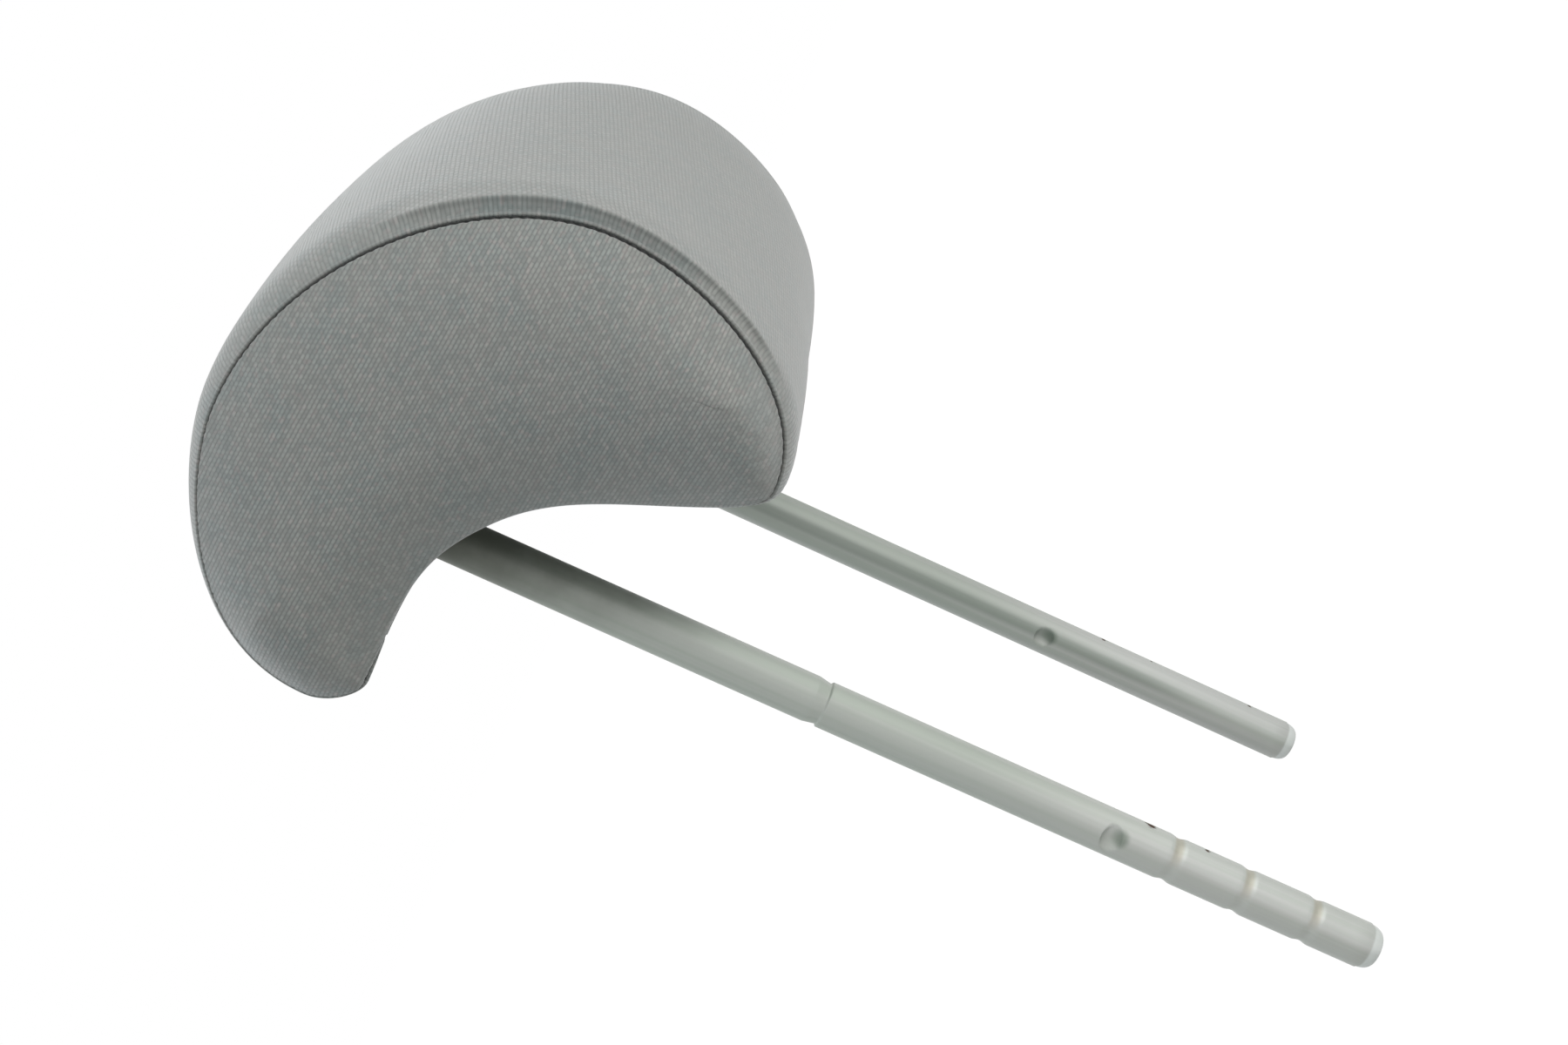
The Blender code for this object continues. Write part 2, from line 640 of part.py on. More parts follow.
def under_strip_profile():
    """The hook sewn to the under panel, which passes over the other and turns down into it."""
    y = CLOSURE_BEHIND_POSTS
    rise = y - BAND_STRIP_HOOK - STRIP_THICKNESS - STRIP_PLAY
    lip = y + UNDER_STRIP_HOOK - HOOK_OVERLAP
    return ((y - UNDER_STRIP_TAB - UNDER_STRIP_LIFT, strip_layer(0)),
            (rise - UNDER_STRIP_LIFT, strip_layer(0)),
            (rise, strip_layer(3)), (y + UNDER_STRIP_HOOK, strip_layer(3)),
            (y + UNDER_STRIP_HOOK, strip_layer(1)), (lip, strip_layer(1)))


def make_strip(name, profile, collection):
    bm = bmesh.new()
    rows = [[(x, y, z) for y, z in profile] for x in (-STRIP_LENGTH / 2, STRIP_LENGTH / 2)]
    add_rows(bm, [np.array(row) for row in rows], closed=False)
    strip = mesh_object(name, bm, collection)
    shell = strip.modifiers.new("Wall", "SOLIDIFY")
    shell.thickness = STRIP_THICKNESS
    shell.offset = 0.0
    shell.use_even_offset = True
    set_material(strip, STRIP_PLASTIC)


def make_foam(loop, collection, cutters):
    """The pad's foam, with the core's pocket, the bar's channel and the closure's groove."""
    foam = foam_surface(loop, collection)
    gap = FIT_GAP
    pocket, paddle, groove = bmesh.new(), bmesh.new(), bmesh.new()
    top = BAR_Z + CORE_HALF_HEIGHT + gap
    add_box(pocket, (-CORE_HALF_WIDTH - gap, CORE_FRONT_Y + PADDLE_THICKNESS / 2,
                     BAR_Z - CORE_HALF_HEIGHT - gap), (CORE_HALF_WIDTH + gap, CORE_REAR_Y + gap, top))
    add_box(paddle, (-PADDLE_WIDTH / 2 - gap, CORE_FRONT_Y - gap,
                     LOBE_TIP_Z + PADDLE_FOAM_BELOW - gap),
            (PADDLE_WIDTH / 2 + gap, CORE_FRONT_Y + PADDLE_THICKNESS + gap, top))
    ends = [y for y, _ in band_strip_profile() + under_strip_profile()]
    margin = STRIP_THICKNESS / 2 + gap
    add_box(groove, (-STRIP_LENGTH / 2 - gap, min(ends) - margin, UNDER_Z),
            (STRIP_LENGTH / 2 + gap, max(ends) + margin, strip_layer(3) + margin))
    combine(foam, as_cutter(mesh_object("cut_core_pocket", pocket, cutters)), "DIFFERENCE")
    combine(foam, as_cutter(mesh_object("cut_paddle_slot", paddle, cutters)), "DIFFERENCE")
    combine(foam, as_cutter(mesh_object("cut_closure_groove", groove, cutters)), "DIFFERENCE")
    combine(foam, bpy.data.objects["cut_bar"], "DIFFERENCE")
    set_material(smooth(foam), FOAM)


def make_cover(loop, index, collection, cutters):
    count = len(loop[0])
    cover_strip("cover_band", loop, index["lobe_back"] - count, index["closure"], collection)
    under = cover_strip("cover_under", loop, index["closure"], index["lobe_back"], collection)
    holes = bmesh.new()
    for side in (-1, 1):
        add_cylinder(holes, BAR_RADIUS + POST_HOLE_CLEARANCE, UNDER_Z - LOBE_DROP, BAR_Z,
                     side * POST_X, 0.0, BAR_SIDES)
    combine(under, as_cutter(mesh_object("cut_post_holes", holes, cutters)), "DIFFERENCE")
    cover_side("cover_side_left", loop, -1, collection)
    cover_side("cover_side_right", loop, 1, collection)


def thread(name, points, collection, cyclic=False):
    radii = [THREAD_DIAMETER / 2] * len(points)
    set_material(smooth(tube(name, points, radii, 6, collection, cyclic)), THREAD)


def stitch_line(loop, edge, neighbour):
    """A straight line of stitches on the cover's outer face, beside one of its cut edges."""
    reach = STRIP_LENGTH / 2 / SEAM_X
    lift = THREAD_DIAMETER / 2 + FIT_GAP
    normal = np.array((0.0, *loop[1][edge]))
    line = []
    for across in np.linspace(-reach, reach, 5):
        row = band_row(across, loop)
        step = row[neighbour] - row[edge]
        line.append(row[edge] + step / np.linalg.norm(step) * STITCH_LINE_FROM_CLOSURE + normal * lift)
    return line


def make_threads(loop, index, collection):
    """Sewing thread in each seam, and along the two closing strips under the pad."""
    thread("thread_side_left", band_row(-1.0, loop), collection, cyclic=True)
    thread("thread_side_right", band_row(1.0, loop), collection, cyclic=True)
    reach = SEAM_X - THREAD_CORNER_GAP
    back = loop[0][index["lobe_back"]]
    thread("thread_lobe", [(-reach, *back), (0.0, *back), (reach, *back)], collection)
    closure = index["closure"]
    thread("thread_strip_band", stitch_line(loop, closure, closure - 1), collection)
    thread("thread_strip_under", stitch_line(loop, closure, closure + 1), collection)


def main():
    clear_scene()
    headrest = new_collection("car_headrest")
    cutters = new_collection("cutters")
    loop, index = outline_loop()
    bar_cutter("cut_bar", FIT_GAP, cutters)
    make_post_frame(headrest, cutters)
    make_core_upper(headrest, cutters)
    make_core_lower(headrest, cutters)
    make_screws(headrest, cutters)
    make_strip("closure_strip_band", band_strip_profile(), headrest)
    make_strip("closure_strip_under", under_strip_profile(), headrest)
    make_foam(loop, headrest, cutters)
    make_cover(loop, index, headrest, cutters)
    make_threads(loop, index, headrest)


main()
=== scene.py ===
"""Looks of the car headrest: fabric panels with sewn seams, notched steel posts, light and camera.

The pad is worked out from the same outline as the frame's cover. Every visible surface is a
grid of points computed with numpy, in metres, in the frame's own coordinates: +Z up along the
posts, -Y towards the head, the left post at -X.
"""
import math
from collections import namedtuple

import bmesh
import bpy
import numpy as np
from mathutils import Matrix, Vector


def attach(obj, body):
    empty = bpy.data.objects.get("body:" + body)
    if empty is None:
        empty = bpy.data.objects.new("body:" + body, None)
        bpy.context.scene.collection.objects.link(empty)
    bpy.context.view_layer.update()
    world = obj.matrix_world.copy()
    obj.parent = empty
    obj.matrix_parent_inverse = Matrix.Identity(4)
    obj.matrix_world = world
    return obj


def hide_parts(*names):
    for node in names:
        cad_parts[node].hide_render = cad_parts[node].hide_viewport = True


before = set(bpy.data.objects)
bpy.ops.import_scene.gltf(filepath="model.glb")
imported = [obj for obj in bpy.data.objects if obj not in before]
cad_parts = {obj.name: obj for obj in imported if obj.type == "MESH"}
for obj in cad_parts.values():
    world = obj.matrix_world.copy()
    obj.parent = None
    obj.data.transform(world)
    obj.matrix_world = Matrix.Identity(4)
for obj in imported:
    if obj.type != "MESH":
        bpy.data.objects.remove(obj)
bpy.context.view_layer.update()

MM = 0.001

# Outline of the pad at the side seams, as in the frame
UNDERSIDE_Z = 0.2609
TOP_Z = 0.3184
LOBE_TIP_Z = 0.1942
FRONT_Y = -0.0927
REAR_Y = 0.0382
CLOSURE_Y = 0.0200
SEAM_X = 0.1040

# Each anchor of the outline: y, z, heading in degrees, curve handles before and after it
Anchor = namedtuple("Anchor", "name y z heading before after")
OUTLINE = (
    Anchor("lobe_tip", FRONT_Y + 0.0386, LOBE_TIP_Z, 180.0, 0.0032, 0.0232),
    Anchor("front", FRONT_Y, UNDERSIDE_Z - 0.0104, 90.0, 0.0243, 0.0318),
    Anchor("crown", -0.0173, TOP_Z, 0.0, 0.0394, 0.0173),
    Anchor("rear", REAR_Y, UNDERSIDE_Z + 0.0126, -90.0, 0.0314, 0.0042),
    Anchor("rear_tip", REAR_Y - 0.0080, UNDERSIDE_Z, 180.0, 0.0046, 0.0030),
    Anchor("closure", CLOSURE_Y, UNDERSIDE_Z, 180.0, 0.0030, 0.0150),
    Anchor("bend", -0.0191, UNDERSIDE_Z - 0.0104, 219.8, 0.0180, 0.0175),
    Anchor("lobe_back", FRONT_Y + 0.0484, LOBE_TIP_Z + 0.0116, 245.6, 0.0211, 0.0078),
)
SAMPLES_PER_SPAN = 200

# Fullness of the band above its lips, at each anchor in the outline's order. Near the right seam
# it is a share of the left one's.
SEAM_RISE = (0.0019, 0.0033, 0.0027, 0.0024, 0.0004, 0.0, 0.0, 0.0)
RIGHT_RISE_SHARE = (0.10, 0.50, 1.0, 1.0, 1.0, 1.0, 1.0, 1.0)
RIGHT_REACH = 0.022
SOFT_WIDTH = 0.0130
SOFT_POWER = 2.4

# Ridge that the seam allowance lifts beside the side seams: its share of the rise at each anchor,
# kept between 0 and 1 after blending, then its foot, its brow and how far it leans out
RIDGE_SHARE = (-0.8, 3.0, -2.5, 0.0, 0.0, 0.0, 0.0, 0.0)
RIDGE_FOOT = 0.0010
RIDGE_FOOT_SHARE = 0.12
RIDGE_WIDTH = 0.0050
RIDGE_SHARPNESS = 14.0
RIDGE_LEAN = 0.0024
RIDGE_LEAN_POWER = 1.4
RIDGE_FADE = 0.0060

# Crown across the pad, and how far its underside is drawn in, at each anchor
CROWN = (0.0021, -0.0018, 0.0040, 0.0008, 0.0, 0.0, 0.0, 0.0)
TOP_FRONT_CROWN = 0.0046
CROWN_POWER = 2.6
CROWN_TILT = 0.14
DRAWN_IN = (0.0, 0.0, 0.0, 0.0, 0.0034, 0.0026, 0.0020, 0.0010)
DRAWN_WIDTH = 0.0110

# Hollows of the underside round the posts
PUCKER_DEPTH = 0.0016
PUCKER_REACH = 0.0085

# Steps of the band from its lip to the pad's middle, in millimetres, close together at the ridge
HALF_STATIONS = (0.3, 0.6, 1.0, 1.4, 1.8, 2.2, 2.6, 3.0, 3.4, 3.8, 4.2, 4.5, 4.8, 5.1, 5.4, 5.8, 6.3,
                 7.0, 8.0, 9.3, 11, 13, 15.5, 18.5, 22, 26, 31, 37, 44, 52, 61, 71, 82, 93)

# Side panels: their bulge, their middle line as (y, z), and the steps of their grid
SIDE_BULGE = 0.0138
SIDE_POWER = 2.2
SPINE = ((-0.0700, 0.2140), (-0.0640, 0.2800), (0.0140, 0.2870))
SPINE_END = 0.10
SIDE_STEPS = 300
SIDE_NEAR_STEPS = (0.0012, 0.0026, 0.0042, 0.0062)
SIDE_FAR_STEPS = 30

# Swelling of the filled cover, from a cloth simulation of the whole pad's form
FORM_STATIONS = 240
SWELL_VOXEL = 0.005
SWELL_PRESSURE = 4.0
SWELL_FRAMES = 20
SWELL_CAP = 0.0016
SWELL_BLUR = 0.006
SWELL_EASE = 0.016
SWELL_BATCH = 4000

# Edges of the panels: each rolls round into a narrow sewn groove. On the hollow side the side
# panel folds round the pad's edge, and its seam lies out of sight underneath.
FOLD_SHARE = (0.3, 0.0, 0.0, 0.0, 0.5, 1.0, 1.0, 1.0)
LIP_RADIUS = 0.00045
FOLD_RADIUS = 0.0040
EDGE_LIFT = (0.0, 0.0, 0.0, 0.0, -0.0009, -0.0006, 0.0011, 0.0005)
FACE_LEAN = math.radians(56)
GROOVE_LEAN = math.radians(-45)
GROOVE_DEPTH = 0.0020
GROOVE_WIDTH = 0.0012
GROOVE_STATIONS = (1.0, 0.6, 0.25)
LIP_STEPS = 7
BAND_PITCH = 0.0008
UNDER_PITCH = 0.0010
CUT_MARGIN = 0.0016
CUT_STEPS = 6
FABRIC_THICKNESS = 0.0005

# Stitches and their thread
STITCH_PITCH = 0.0025
STITCH_PULL = 0.00018
STITCH_REACH = 0.0012
THREAD_DEPTH = 0.0006
THREAD_DIP = 0.0004
THREAD_RADIUS = 0.00055
THREAD_SQUEEZE = 0.25
THREAD_SIDES = 6
THREAD_STEPS = 8

# Distances under which doubled points are merged, on the panels and on the tubes
PANEL_WELD = 0.00002
TUBE_WELD = 0.000001

# Posts: one bent bar
POST_X = 0.070
POST_RADIUS = 0.006
BAR_Z = 0.2884
BEND_RADIUS = 0.022
POST_SIDES = 72
BEND_STEPS = 24
RING_PITCH = 0.004
MARK_PITCH = 0.00025
MARK_REACH = 0.0045

# Rounded tips
TIP_START = 0.0008
TIP_LENGTH = 0.0036
TIP_INSET = 0.0022
TIP_STEP = 0.00025
TIP_RINGS = 9
TIP_FLAT_SHARE = 0.7
TIP_CLEAR = 0.0003

# Ring grooves of the left post, then the dimples as (side, height, half length, half width)
NOTCHES = (0.0205, 0.0398, 0.0597)
NOTCH_DEPTH = 0.00045
NOTCH_HALF = 0.0025
STOP_NOTCH = 0.1567
STOP_DEPTH = 0.0006
STOP_RAMP = 0.0032
STOP_SHOULDER = 0.0005
DIMPLES = ((-1, 0.0770, 0.0028, 0.0038), (1, 0.0855, 0.0030, 0.0030))
DIMPLE_DEPTH = 0.0018
DIMPLE_POWER = 0.65
DIMPLE_TURN = math.radians(-4)

# Cloths: the turn of the ribs in degrees, their pitch, the length of a float and how far it steps
# on at each rib, how deeply the floats break the ribs, how light the grooves are, the relief, the
# roughness, and whether painted shade darkens the strip under the ridge
Cloth = namedtuple("Cloth", "name turn pitch float_length step broken groove depth roughness soiled")
BAND_CLOTH = Cloth("band_fabric", 5.6, 0.00105, 0.0030, 0.5, 0.6, 0.68, 0.00012, 0.90, True)
SIDE_CLOTH = Cloth("side_fabric", 85.0, 0.00096, 0.0013, 0.5, 0.5, 0.62, 0.00013, 0.92, False)

# Colours of both cloths: the base, the warmer yarns and the cooler patches
CLOTH_COLORS = ((0.396, 0.402, 0.382), (0.436, 0.416, 0.400), (0.364, 0.388, 0.374))
CLOTH_SPECULAR = 0.25
CLOTH_SHEEN = 1.0
CLOTH_SHEEN_ROUGHNESS = 0.4
PATCH_SCALE = 95.0
PATCH_RANGE = (0.40, 0.66)
YARN_SCALE = 620.0
YARN_RANGE = (0.50, 0.72)

# Yarns of the weave: how they wander, how square their ribs and floats are, how much the floats
# differ in height, and their fibres
YARN_UNEVENNESS = 0.22
WANDER_SCALE = 220.0
RIB_POWER = 0.6
FLOAT_POWER = 0.5
FLOAT_SPREAD = 0.60
FLOAT_LOW = 0.58
FIBRE_SCALE = 2600.0
FIBRE_STRETCH = (2.2, 0.7, 1.0)
FIBRE_SHARE = 0.25
FUZZ_SPREAD = 0.12

# Painted shade in the strip under the ridge: its tone, the distances from the seam at which it rises
# and falls, and the distances before and after the front anchor at which it starts and ends
RIDGE_SHADE_TONE = (0.60, 0.64, 0.65, 1)
RIDGE_SHADE_RISE = (0.0008, 0.0018)
RIDGE_SHADE_FALL = (0.0046, 0.0030)
RIDGE_SHADE_START = (-0.034, -0.004)
RIDGE_SHADE_END = (0.060, 0.018)

# Coat of the posts: its tones high up, low down and on the side towards the head, which is painted
# lighter as if lit, with the heights (z) and depths (y) between which they change
COAT_TONE = (0.53, 0.56, 0.515, 1)
COAT_LOW_TONE = (0.58, 0.59, 0.555, 1)
COAT_PAINTED_LIT_TONE = (0.66, 0.67, 0.645, 1)
LOW_HEIGHTS = (0.125, 0.045)
PAINTED_LIT_DEPTHS = (-0.0006, -0.0026)

# Marks of drawing along the posts
DRAWN_TINT = (0.86, 0.90, 0.86, 1)
DRAWN_RANGE = (0.36, 0.64)
DRAWN_SCALE = 330.0
DRAWN_STRETCH = (1.0, 1.0, 0.012)
STREAK_TONE = (0.45, 0.445, 0.425, 1)
STREAK_SHARE = 0.3
STREAK_SCALE = 1400.0
STREAK_STRETCH = (1.0, 1.0, 0.02)
FINE_SCALE = 2600.0
FINE_STRETCH = (1.0, 1.0, 0.12)
MOTTLE_SCALE = 140.0

# Painted shade and dark reflection of the pad where the posts enter it: lower down on the side towards
# the head
PAD_SHADE_TONE = (0.105, 0.113, 0.090, 1)
PAD_SHADE_HEIGHTS = (0.200, 0.280)
PAD_SHADE_WANDER = 0.02
PAD_SHADE_LEAN = -2.2

# Right post: a little darker, with a painted dark reflection as a streak along its side
RIGHT_TINT = (0.78, 0.79, 0.79, 1)
RIGHT_TINT_SHARE = 0.5
RIGHT_PLACES = (0.0, 0.01)
SHADE_TINT = (0.66, 0.69, 0.67, 1)
SHADE_TINT_SHARE = 0.9
SHADE_DEPTH = -0.0014
SHADE_RANGE = (0.0028, 0.0008)
SHADE_HEIGHTS = (0.02, 0.06)

# Pale tips, painted shade in the dimples, brownish grooves, and chips as (x, height, size)
TIP_TONE = (0.80, 0.84, 0.82, 1)
TIP_TONE_SHARE = 0.6
TIP_TONE_START = 0.8
DIMPLE_SHADE_TINT = (0.50, 0.55, 0.50, 1)
DIMPLE_SHADE_RANGE = (0.0034, 0.0012)
DIMPLE_SHADE_PLACES = ((-POST_X - POST_RADIUS, -0.0014, 0.0752), (POST_X - POST_RADIUS, -0.0014, 0.0842))
GROOVE_TONE = (0.42, 0.38, 0.28, 1)
GROOVE_TONE_SHARE = 0.55
GROOVE_TONE_RANGE = (0.0006, 0.0018)
GROOVE_TONE_DEPTHS = (0.001, -0.004)
RUST_TONE = (0.07, 0.035, 0.02, 1)
POST_CHIPS = ((-POST_X, 0.0678, 0.0024), (-POST_X, 0.0520, 0.0012), (POST_X, 0.0675, 0.0014),
              (POST_X, 0.0513, 0.0009), (POST_X, 0.0178, 0.0011))
CHIP_RAGGED = 1.6
CHIP_EDGE = (1.15, 1.45)

# Gloss and relief of the coat
COAT_METALLIC = 0.2
COAT_LIT_SIDE_METALLIC = 0.25
COAT_ROUGHNESS = 0.44
STREAK_ROUGHNESS = 0.06
CHIP_ROUGHNESS = 0.4
COAT_RELIEF = 0.00002
STREAK_RELIEF = 0.6
MOTTLE_RELIEF = 0.5
CHIP_RELIEF = -2.0

# Plain finishes of the thread and of the pieces inside the pad
PLAIN_FINISHES = {
    "seam_thread": {"color": (0.035, 0.036, 0.036), "roughness": 0.8},
    "core_plastic": {"color": (0.05, 0.05, 0.055), "roughness": 0.5},
    "screw_steel": {"color": (0.55, 0.56, 0.58), "roughness": 0.35, "metallic": 1.0, "grain": 0.00001},
    "pad_foam": {"color": (0.72, 0.68, 0.45), "roughness": 0.95, "grain": 0.0003, "grain_scale": 700.0},
    "strip_plastic": {"color": (0.60, 0.60, 0.58), "roughness": 0.5},
}
NODE_FINISHES = (("thread_lobe", "seam_thread"), ("thread_strip", "seam_thread"),
                 ("core_screw", "screw_steel"), ("core", "core_plastic"), ("foam", "pad_foam"),
                 ("closure", "strip_plastic"))
PLAIN_MOTTLE_SCALE = 60.0
PLAIN_MOTTLE = (0.3, 0.85)
PLAIN_ROUGHNESS_SPREAD = 0.2

# Camera that sees the pad as the photograph does
IMAGE_WIDTH = 1800
FOCAL_PIXELS = 2982.1
SENSOR_WIDTH = 36.0
CAMERA_PLACE = (-0.6758, -0.2146, 0.2477)
CAMERA_RIGHT = (0.029, -0.4214, -0.9064)
CAMERA_UP = (0.293, -0.8634, 0.4108)

# Studio: the floor, the light all round, its glows as (direction, low, high, colour), where low and
# high are the cosines between which a glow grows, and lamps as (name, place, size, watts, colour)
FLOOR_Z = -0.0005
FLOOR_REACH = 6.0
FLOOR_COLOR = (0.52, 0.52, 0.51, 1)
FLOOR_ROUGHNESS = 0.9
FLOOR_GLOW_SHARE = 0.94
FLOOR_GLOW = 1.06
STUDIO_BASE = (0.10, 0.10, 0.095)
STUDIO_GLOWS = (
    ((0.9557, 0.2775, -0.0985), 0.2, 0.9, (0.62, 0.625, 0.585)),
    ((0.0, 0.0, 1.0), 0.0, 1.0, (0.14, 0.155, 0.155)),
    ((-0.60, -0.80, 0.10), 0.4, 1.0, (0.74, 0.725, 0.70)),
    ((-0.45, 0.0, 0.89), 0.4, 1.0, (0.22, 0.25, 0.275)),
    ((0.10, 0.75, 0.65), 0.5, 1.0, (0.68, 0.73, 0.79)),
)
LAMP_TARGET = (0, 0, 0.2)
LAMPS = (
    ("soft_box_front", (-0.9, -1.5, 0.5), (1.4, 1.4), 5, (1.0, 1.0, 1.0)),
    ("bounce_card", (-0.12, -0.50, 0.02), (0.6, 0.5), 1.2, (1.0, 1.0, 1.0)),
)


def add_object(name, data):
    made = bpy.data.objects.new(name, data)
    bpy.context.scene.collection.objects.link(made)
    return made


def new_mesh(name, points, faces, smooth=True):
    mesh = bpy.data.meshes.new(name)
    mesh.from_pydata(np.asarray(points).reshape(-1, 3).tolist(), [], np.asarray(faces).tolist())
    if smooth:
        mesh.shade_smooth()
    mesh.update()
    return add_object(name, mesh)


def grid_faces(rows, columns, close_columns=False):
    """Index quads of a grid stored row by row; closing the columns joins last to first."""
    i, j = np.meshgrid(np.arange(rows - 1), np.arange(columns if close_columns else columns - 1),
                       indexing="ij")
    k = (j + 1) % columns
    corners = (i * columns + j, i * columns + k, (i + 1) * columns + k, (i + 1) * columns + j)
    return np.stack(corners, axis=-1).reshape(-1, 4)


def set_uv(piece, values):
    """One UV per vertex, spread to the face corners. values is an array of n by 2."""
    mesh = piece.data
    layer = mesh.uv_layers.new(name="UVMap")
    corners = np.empty(len(mesh.loops), dtype=np.int32)
    mesh.loops.foreach_get("vertex_index", corners)
    layer.data.foreach_set("uv", np.asarray(values, dtype=np.float32)[corners].ravel())


def weld(piece, distance, flip=False):
    """Merges doubled points, as at poles and where a tube meets its start, and may turn it round."""
    bm = bmesh.new()
    bm.from_mesh(piece.data)
    bmesh.ops.remove_doubles(bm, verts=bm.verts, dist=distance)
    if flip:
        bmesh.ops.reverse_faces(bm, faces=bm.faces)
    bm.to_mesh(piece.data)
    bm.free()
    piece.data.shade_smooth()


def finish_piece(piece, node_name):
    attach(piece, "root")
    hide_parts(node_name)


def smoothstep(x):
    x = np.clip(x, 0.0, 1.0)
    return x * x * (3 - 2 * x)


def span_curve(start, end):
    """Cubic curve between two anchors: the handles lie along each anchor's heading."""
    t = np.linspace(0, 1, SAMPLES_PER_SPAN, endpoint=False)[:, None]
    turn_a, turn_b = math.radians(start.heading), math.radians(end.heading)
    a = np.array((start.y, start.z))
    d = np.array((end.y, end.z))
    b = a + start.after * np.array((math.cos(turn_a), math.sin(turn_a)))
    c = d - end.before * np.array((math.cos(turn_b), math.sin(turn_b)))
    return (1 - t) ** 3 * a + 3 * t * (1 - t) ** 2 * b + 3 * t * t * (1 - t) * c + t ** 3 * d


class Loop:
    """The closed outline by arc length, with outward normals and values set at the anchors."""

    def __init__(self):
        spans = [span_curve(a, OUTLINE[(i + 1) % len(OUTLINE)]) for i, a in enumerate(OUTLINE)]
        self.points = np.concatenate(spans + [spans[0][:1]])
        steps = np.linalg.norm(np.diff(self.points, axis=0), axis=1)
        self.length = np.concatenate(([0.0], np.cumsum(steps)))
        self.total = self.length[-1]
        self.place = {a.name: self.length[i * SAMPLES_PER_SPAN] for i, a in enumerate(OUTLINE)}
        ahead = np.roll(self.points[:-1], -1, axis=0)
        behind = np.roll(self.points[:-1], 1, axis=0)
        slope = ahead - behind
        slope /= np.linalg.norm(slope, axis=1)[:, None]
        normals = np.stack((-slope[:, 1], slope[:, 0]), axis=1)
        self.normals = np.concatenate((normals, normals[:1]))
        closure = [a.name for a in OUTLINE].index("closure")
        under = np.arange(len(self.points)) > closure * SAMPLES_PER_SPAN
        self.under_posts = self.length[np.argmin(np.where(under, np.abs(self.points[:, 0]), 1.0))]

    def at(self, s):
        """Point and outward normal at arc lengths s, which may run past either end."""
        s = np.mod(s, self.total)
        point, normal = (np.stack([np.interp(s, self.length, rows[:, k]) for k in (0, 1)], axis=-1)
                         for rows in (self.points, self.normals))
        return point, normal / np.linalg.norm(normal, axis=-1, keepdims=True)

    def blend(self, values, s):
        """Values given at the anchors, eased from each anchor to the next."""
        s = np.mod(s, self.total)
        places = [self.place[a.name] for a in OUTLINE] + [self.total]
        index = np.clip(np.searchsorted(places, s, side="right") - 1, 0, len(OUTLINE) - 1)
        places = np.array(places)
        share = smoothstep((s - places[index]) / (places[index + 1] - places[index]))
        levels = np.array(tuple(values) + (values[0],))
        return levels[index] + (levels[index + 1] - levels[index]) * share


LOOP = Loop()


def seam_rise(inward, s, side):
    """Height of the band above its lip at a distance from it, lower near the right seam.

    With a ridge it is a low foot, then a straight climb to a rounded brow; without one, a soft
    shoulder.
    """
    rise = LOOP.blend(SEAM_RISE, s)
    if side > 0:
        lowered = 1 - LOOP.blend(RIGHT_RISE_SHARE, s)
        rise = rise * (1 - lowered * np.exp(-(inward / RIGHT_REACH) ** 2))
    ridge = np.clip(LOOP.blend(RIDGE_SHARE, s), 0, 1)
    climb = np.clip((inward - RIDGE_FOOT) / (RIDGE_WIDTH - RIDGE_FOOT), 0, 2)
    foot = np.clip(inward / RIDGE_FOOT, 0, 1)
    steep = RIDGE_FOOT_SHARE * foot + (1 - RIDGE_FOOT_SHARE) * climb
    brow = -np.log(np.exp(-RIDGE_SHARPNESS * steep) + np.exp(-RIDGE_SHARPNESS)) / RIDGE_SHARPNESS
    soft = 1 - (1 - np.clip(inward / SOFT_WIDTH, 0, 1)) ** SOFT_POWER
    return rise * (ridge * np.clip(brow, 0, None) + (1 - ridge) * soft)


def ridge_lean(inward, s):
    """How far the ridge leans back out over its foot, which makes its wall steep: an eased climb
    from the foot to the brow, fading behind it."""
    ridge = np.clip(LOOP.blend(RIDGE_SHARE, s), 0, 1)
    climb = np.clip((inward - RIDGE_FOOT) / (RIDGE_WIDTH - RIDGE_FOOT), 0, 1)
    fade = np.exp(-np.clip(inward - RIDGE_WIDTH, 0, None) / RIDGE_FADE)
    return RIDGE_LEAN * ridge * smoothstep(climb ** RIDGE_LEAN_POWER) * fade


def crown_rise(x, normal, s):
    """A flat-topped arch across the pad, a little fuller towards its right, and highest where the
    face looks both up and forward: 1 minus a power of the distance from the pad's middle."""
    upward = np.clip(normal[..., 1], 0, 1)
    forward = np.clip(-normal[..., 0], 0, 1)
    crown = LOOP.blend(CROWN, s) + TOP_FRONT_CROWN * 4 * (upward * forward) ** 2
    return crown * (1 - np.abs(x / SEAM_X) ** CROWN_POWER) * (1 + CROWN_TILT * x / SEAM_X)


def fold_share(s):
    """How far the side panel folds round the edge: 0 at a plain seam, 1 along the hollow side."""
    return LOOP.blend(FOLD_SHARE, s) ** 2


def arc(radius, start, end, steps):
    """Points of a clockwise arc in the section across a seam, whose tangent turns from one
    direction to another: inward across the pad, and outward from the outline."""
    turn = np.linspace(start, end, steps)
    radius = np.asarray(radius)[..., None]
    inward = radius * (math.sin(start) - np.sin(turn))
    outward = radius * (np.cos(turn) - math.cos(start))
    return np.stack((inward, outward), axis=-1)


def side_lip(s):
    """Section of the side panel's edge, from the bottom of the groove out to its face."""
    fold = fold_share(s)
    radius = LIP_RADIUS + (FOLD_RADIUS - LIP_RADIUS) * fold
    lip = arc(radius, FACE_LEAN, GROOVE_LEAN, LIP_STEPS)
    lip[..., 1] += (LOOP.blend(EDGE_LIFT, s) - radius * (1 - math.cos(FACE_LEAN)))[:, None]
    lip[..., 0] -= LIP_RADIUS * (math.sin(FACE_LEAN) - math.sin(GROOVE_LEAN))
    down = np.array((math.cos(GROOVE_LEAN), math.sin(GROOVE_LEAN)))
    walls = [lip[:, -1] + down * GROOVE_DEPTH * share for share in GROOVE_STATIONS]
    return np.concatenate((np.stack(walls, axis=1), lip[:, ::-1]), axis=1)


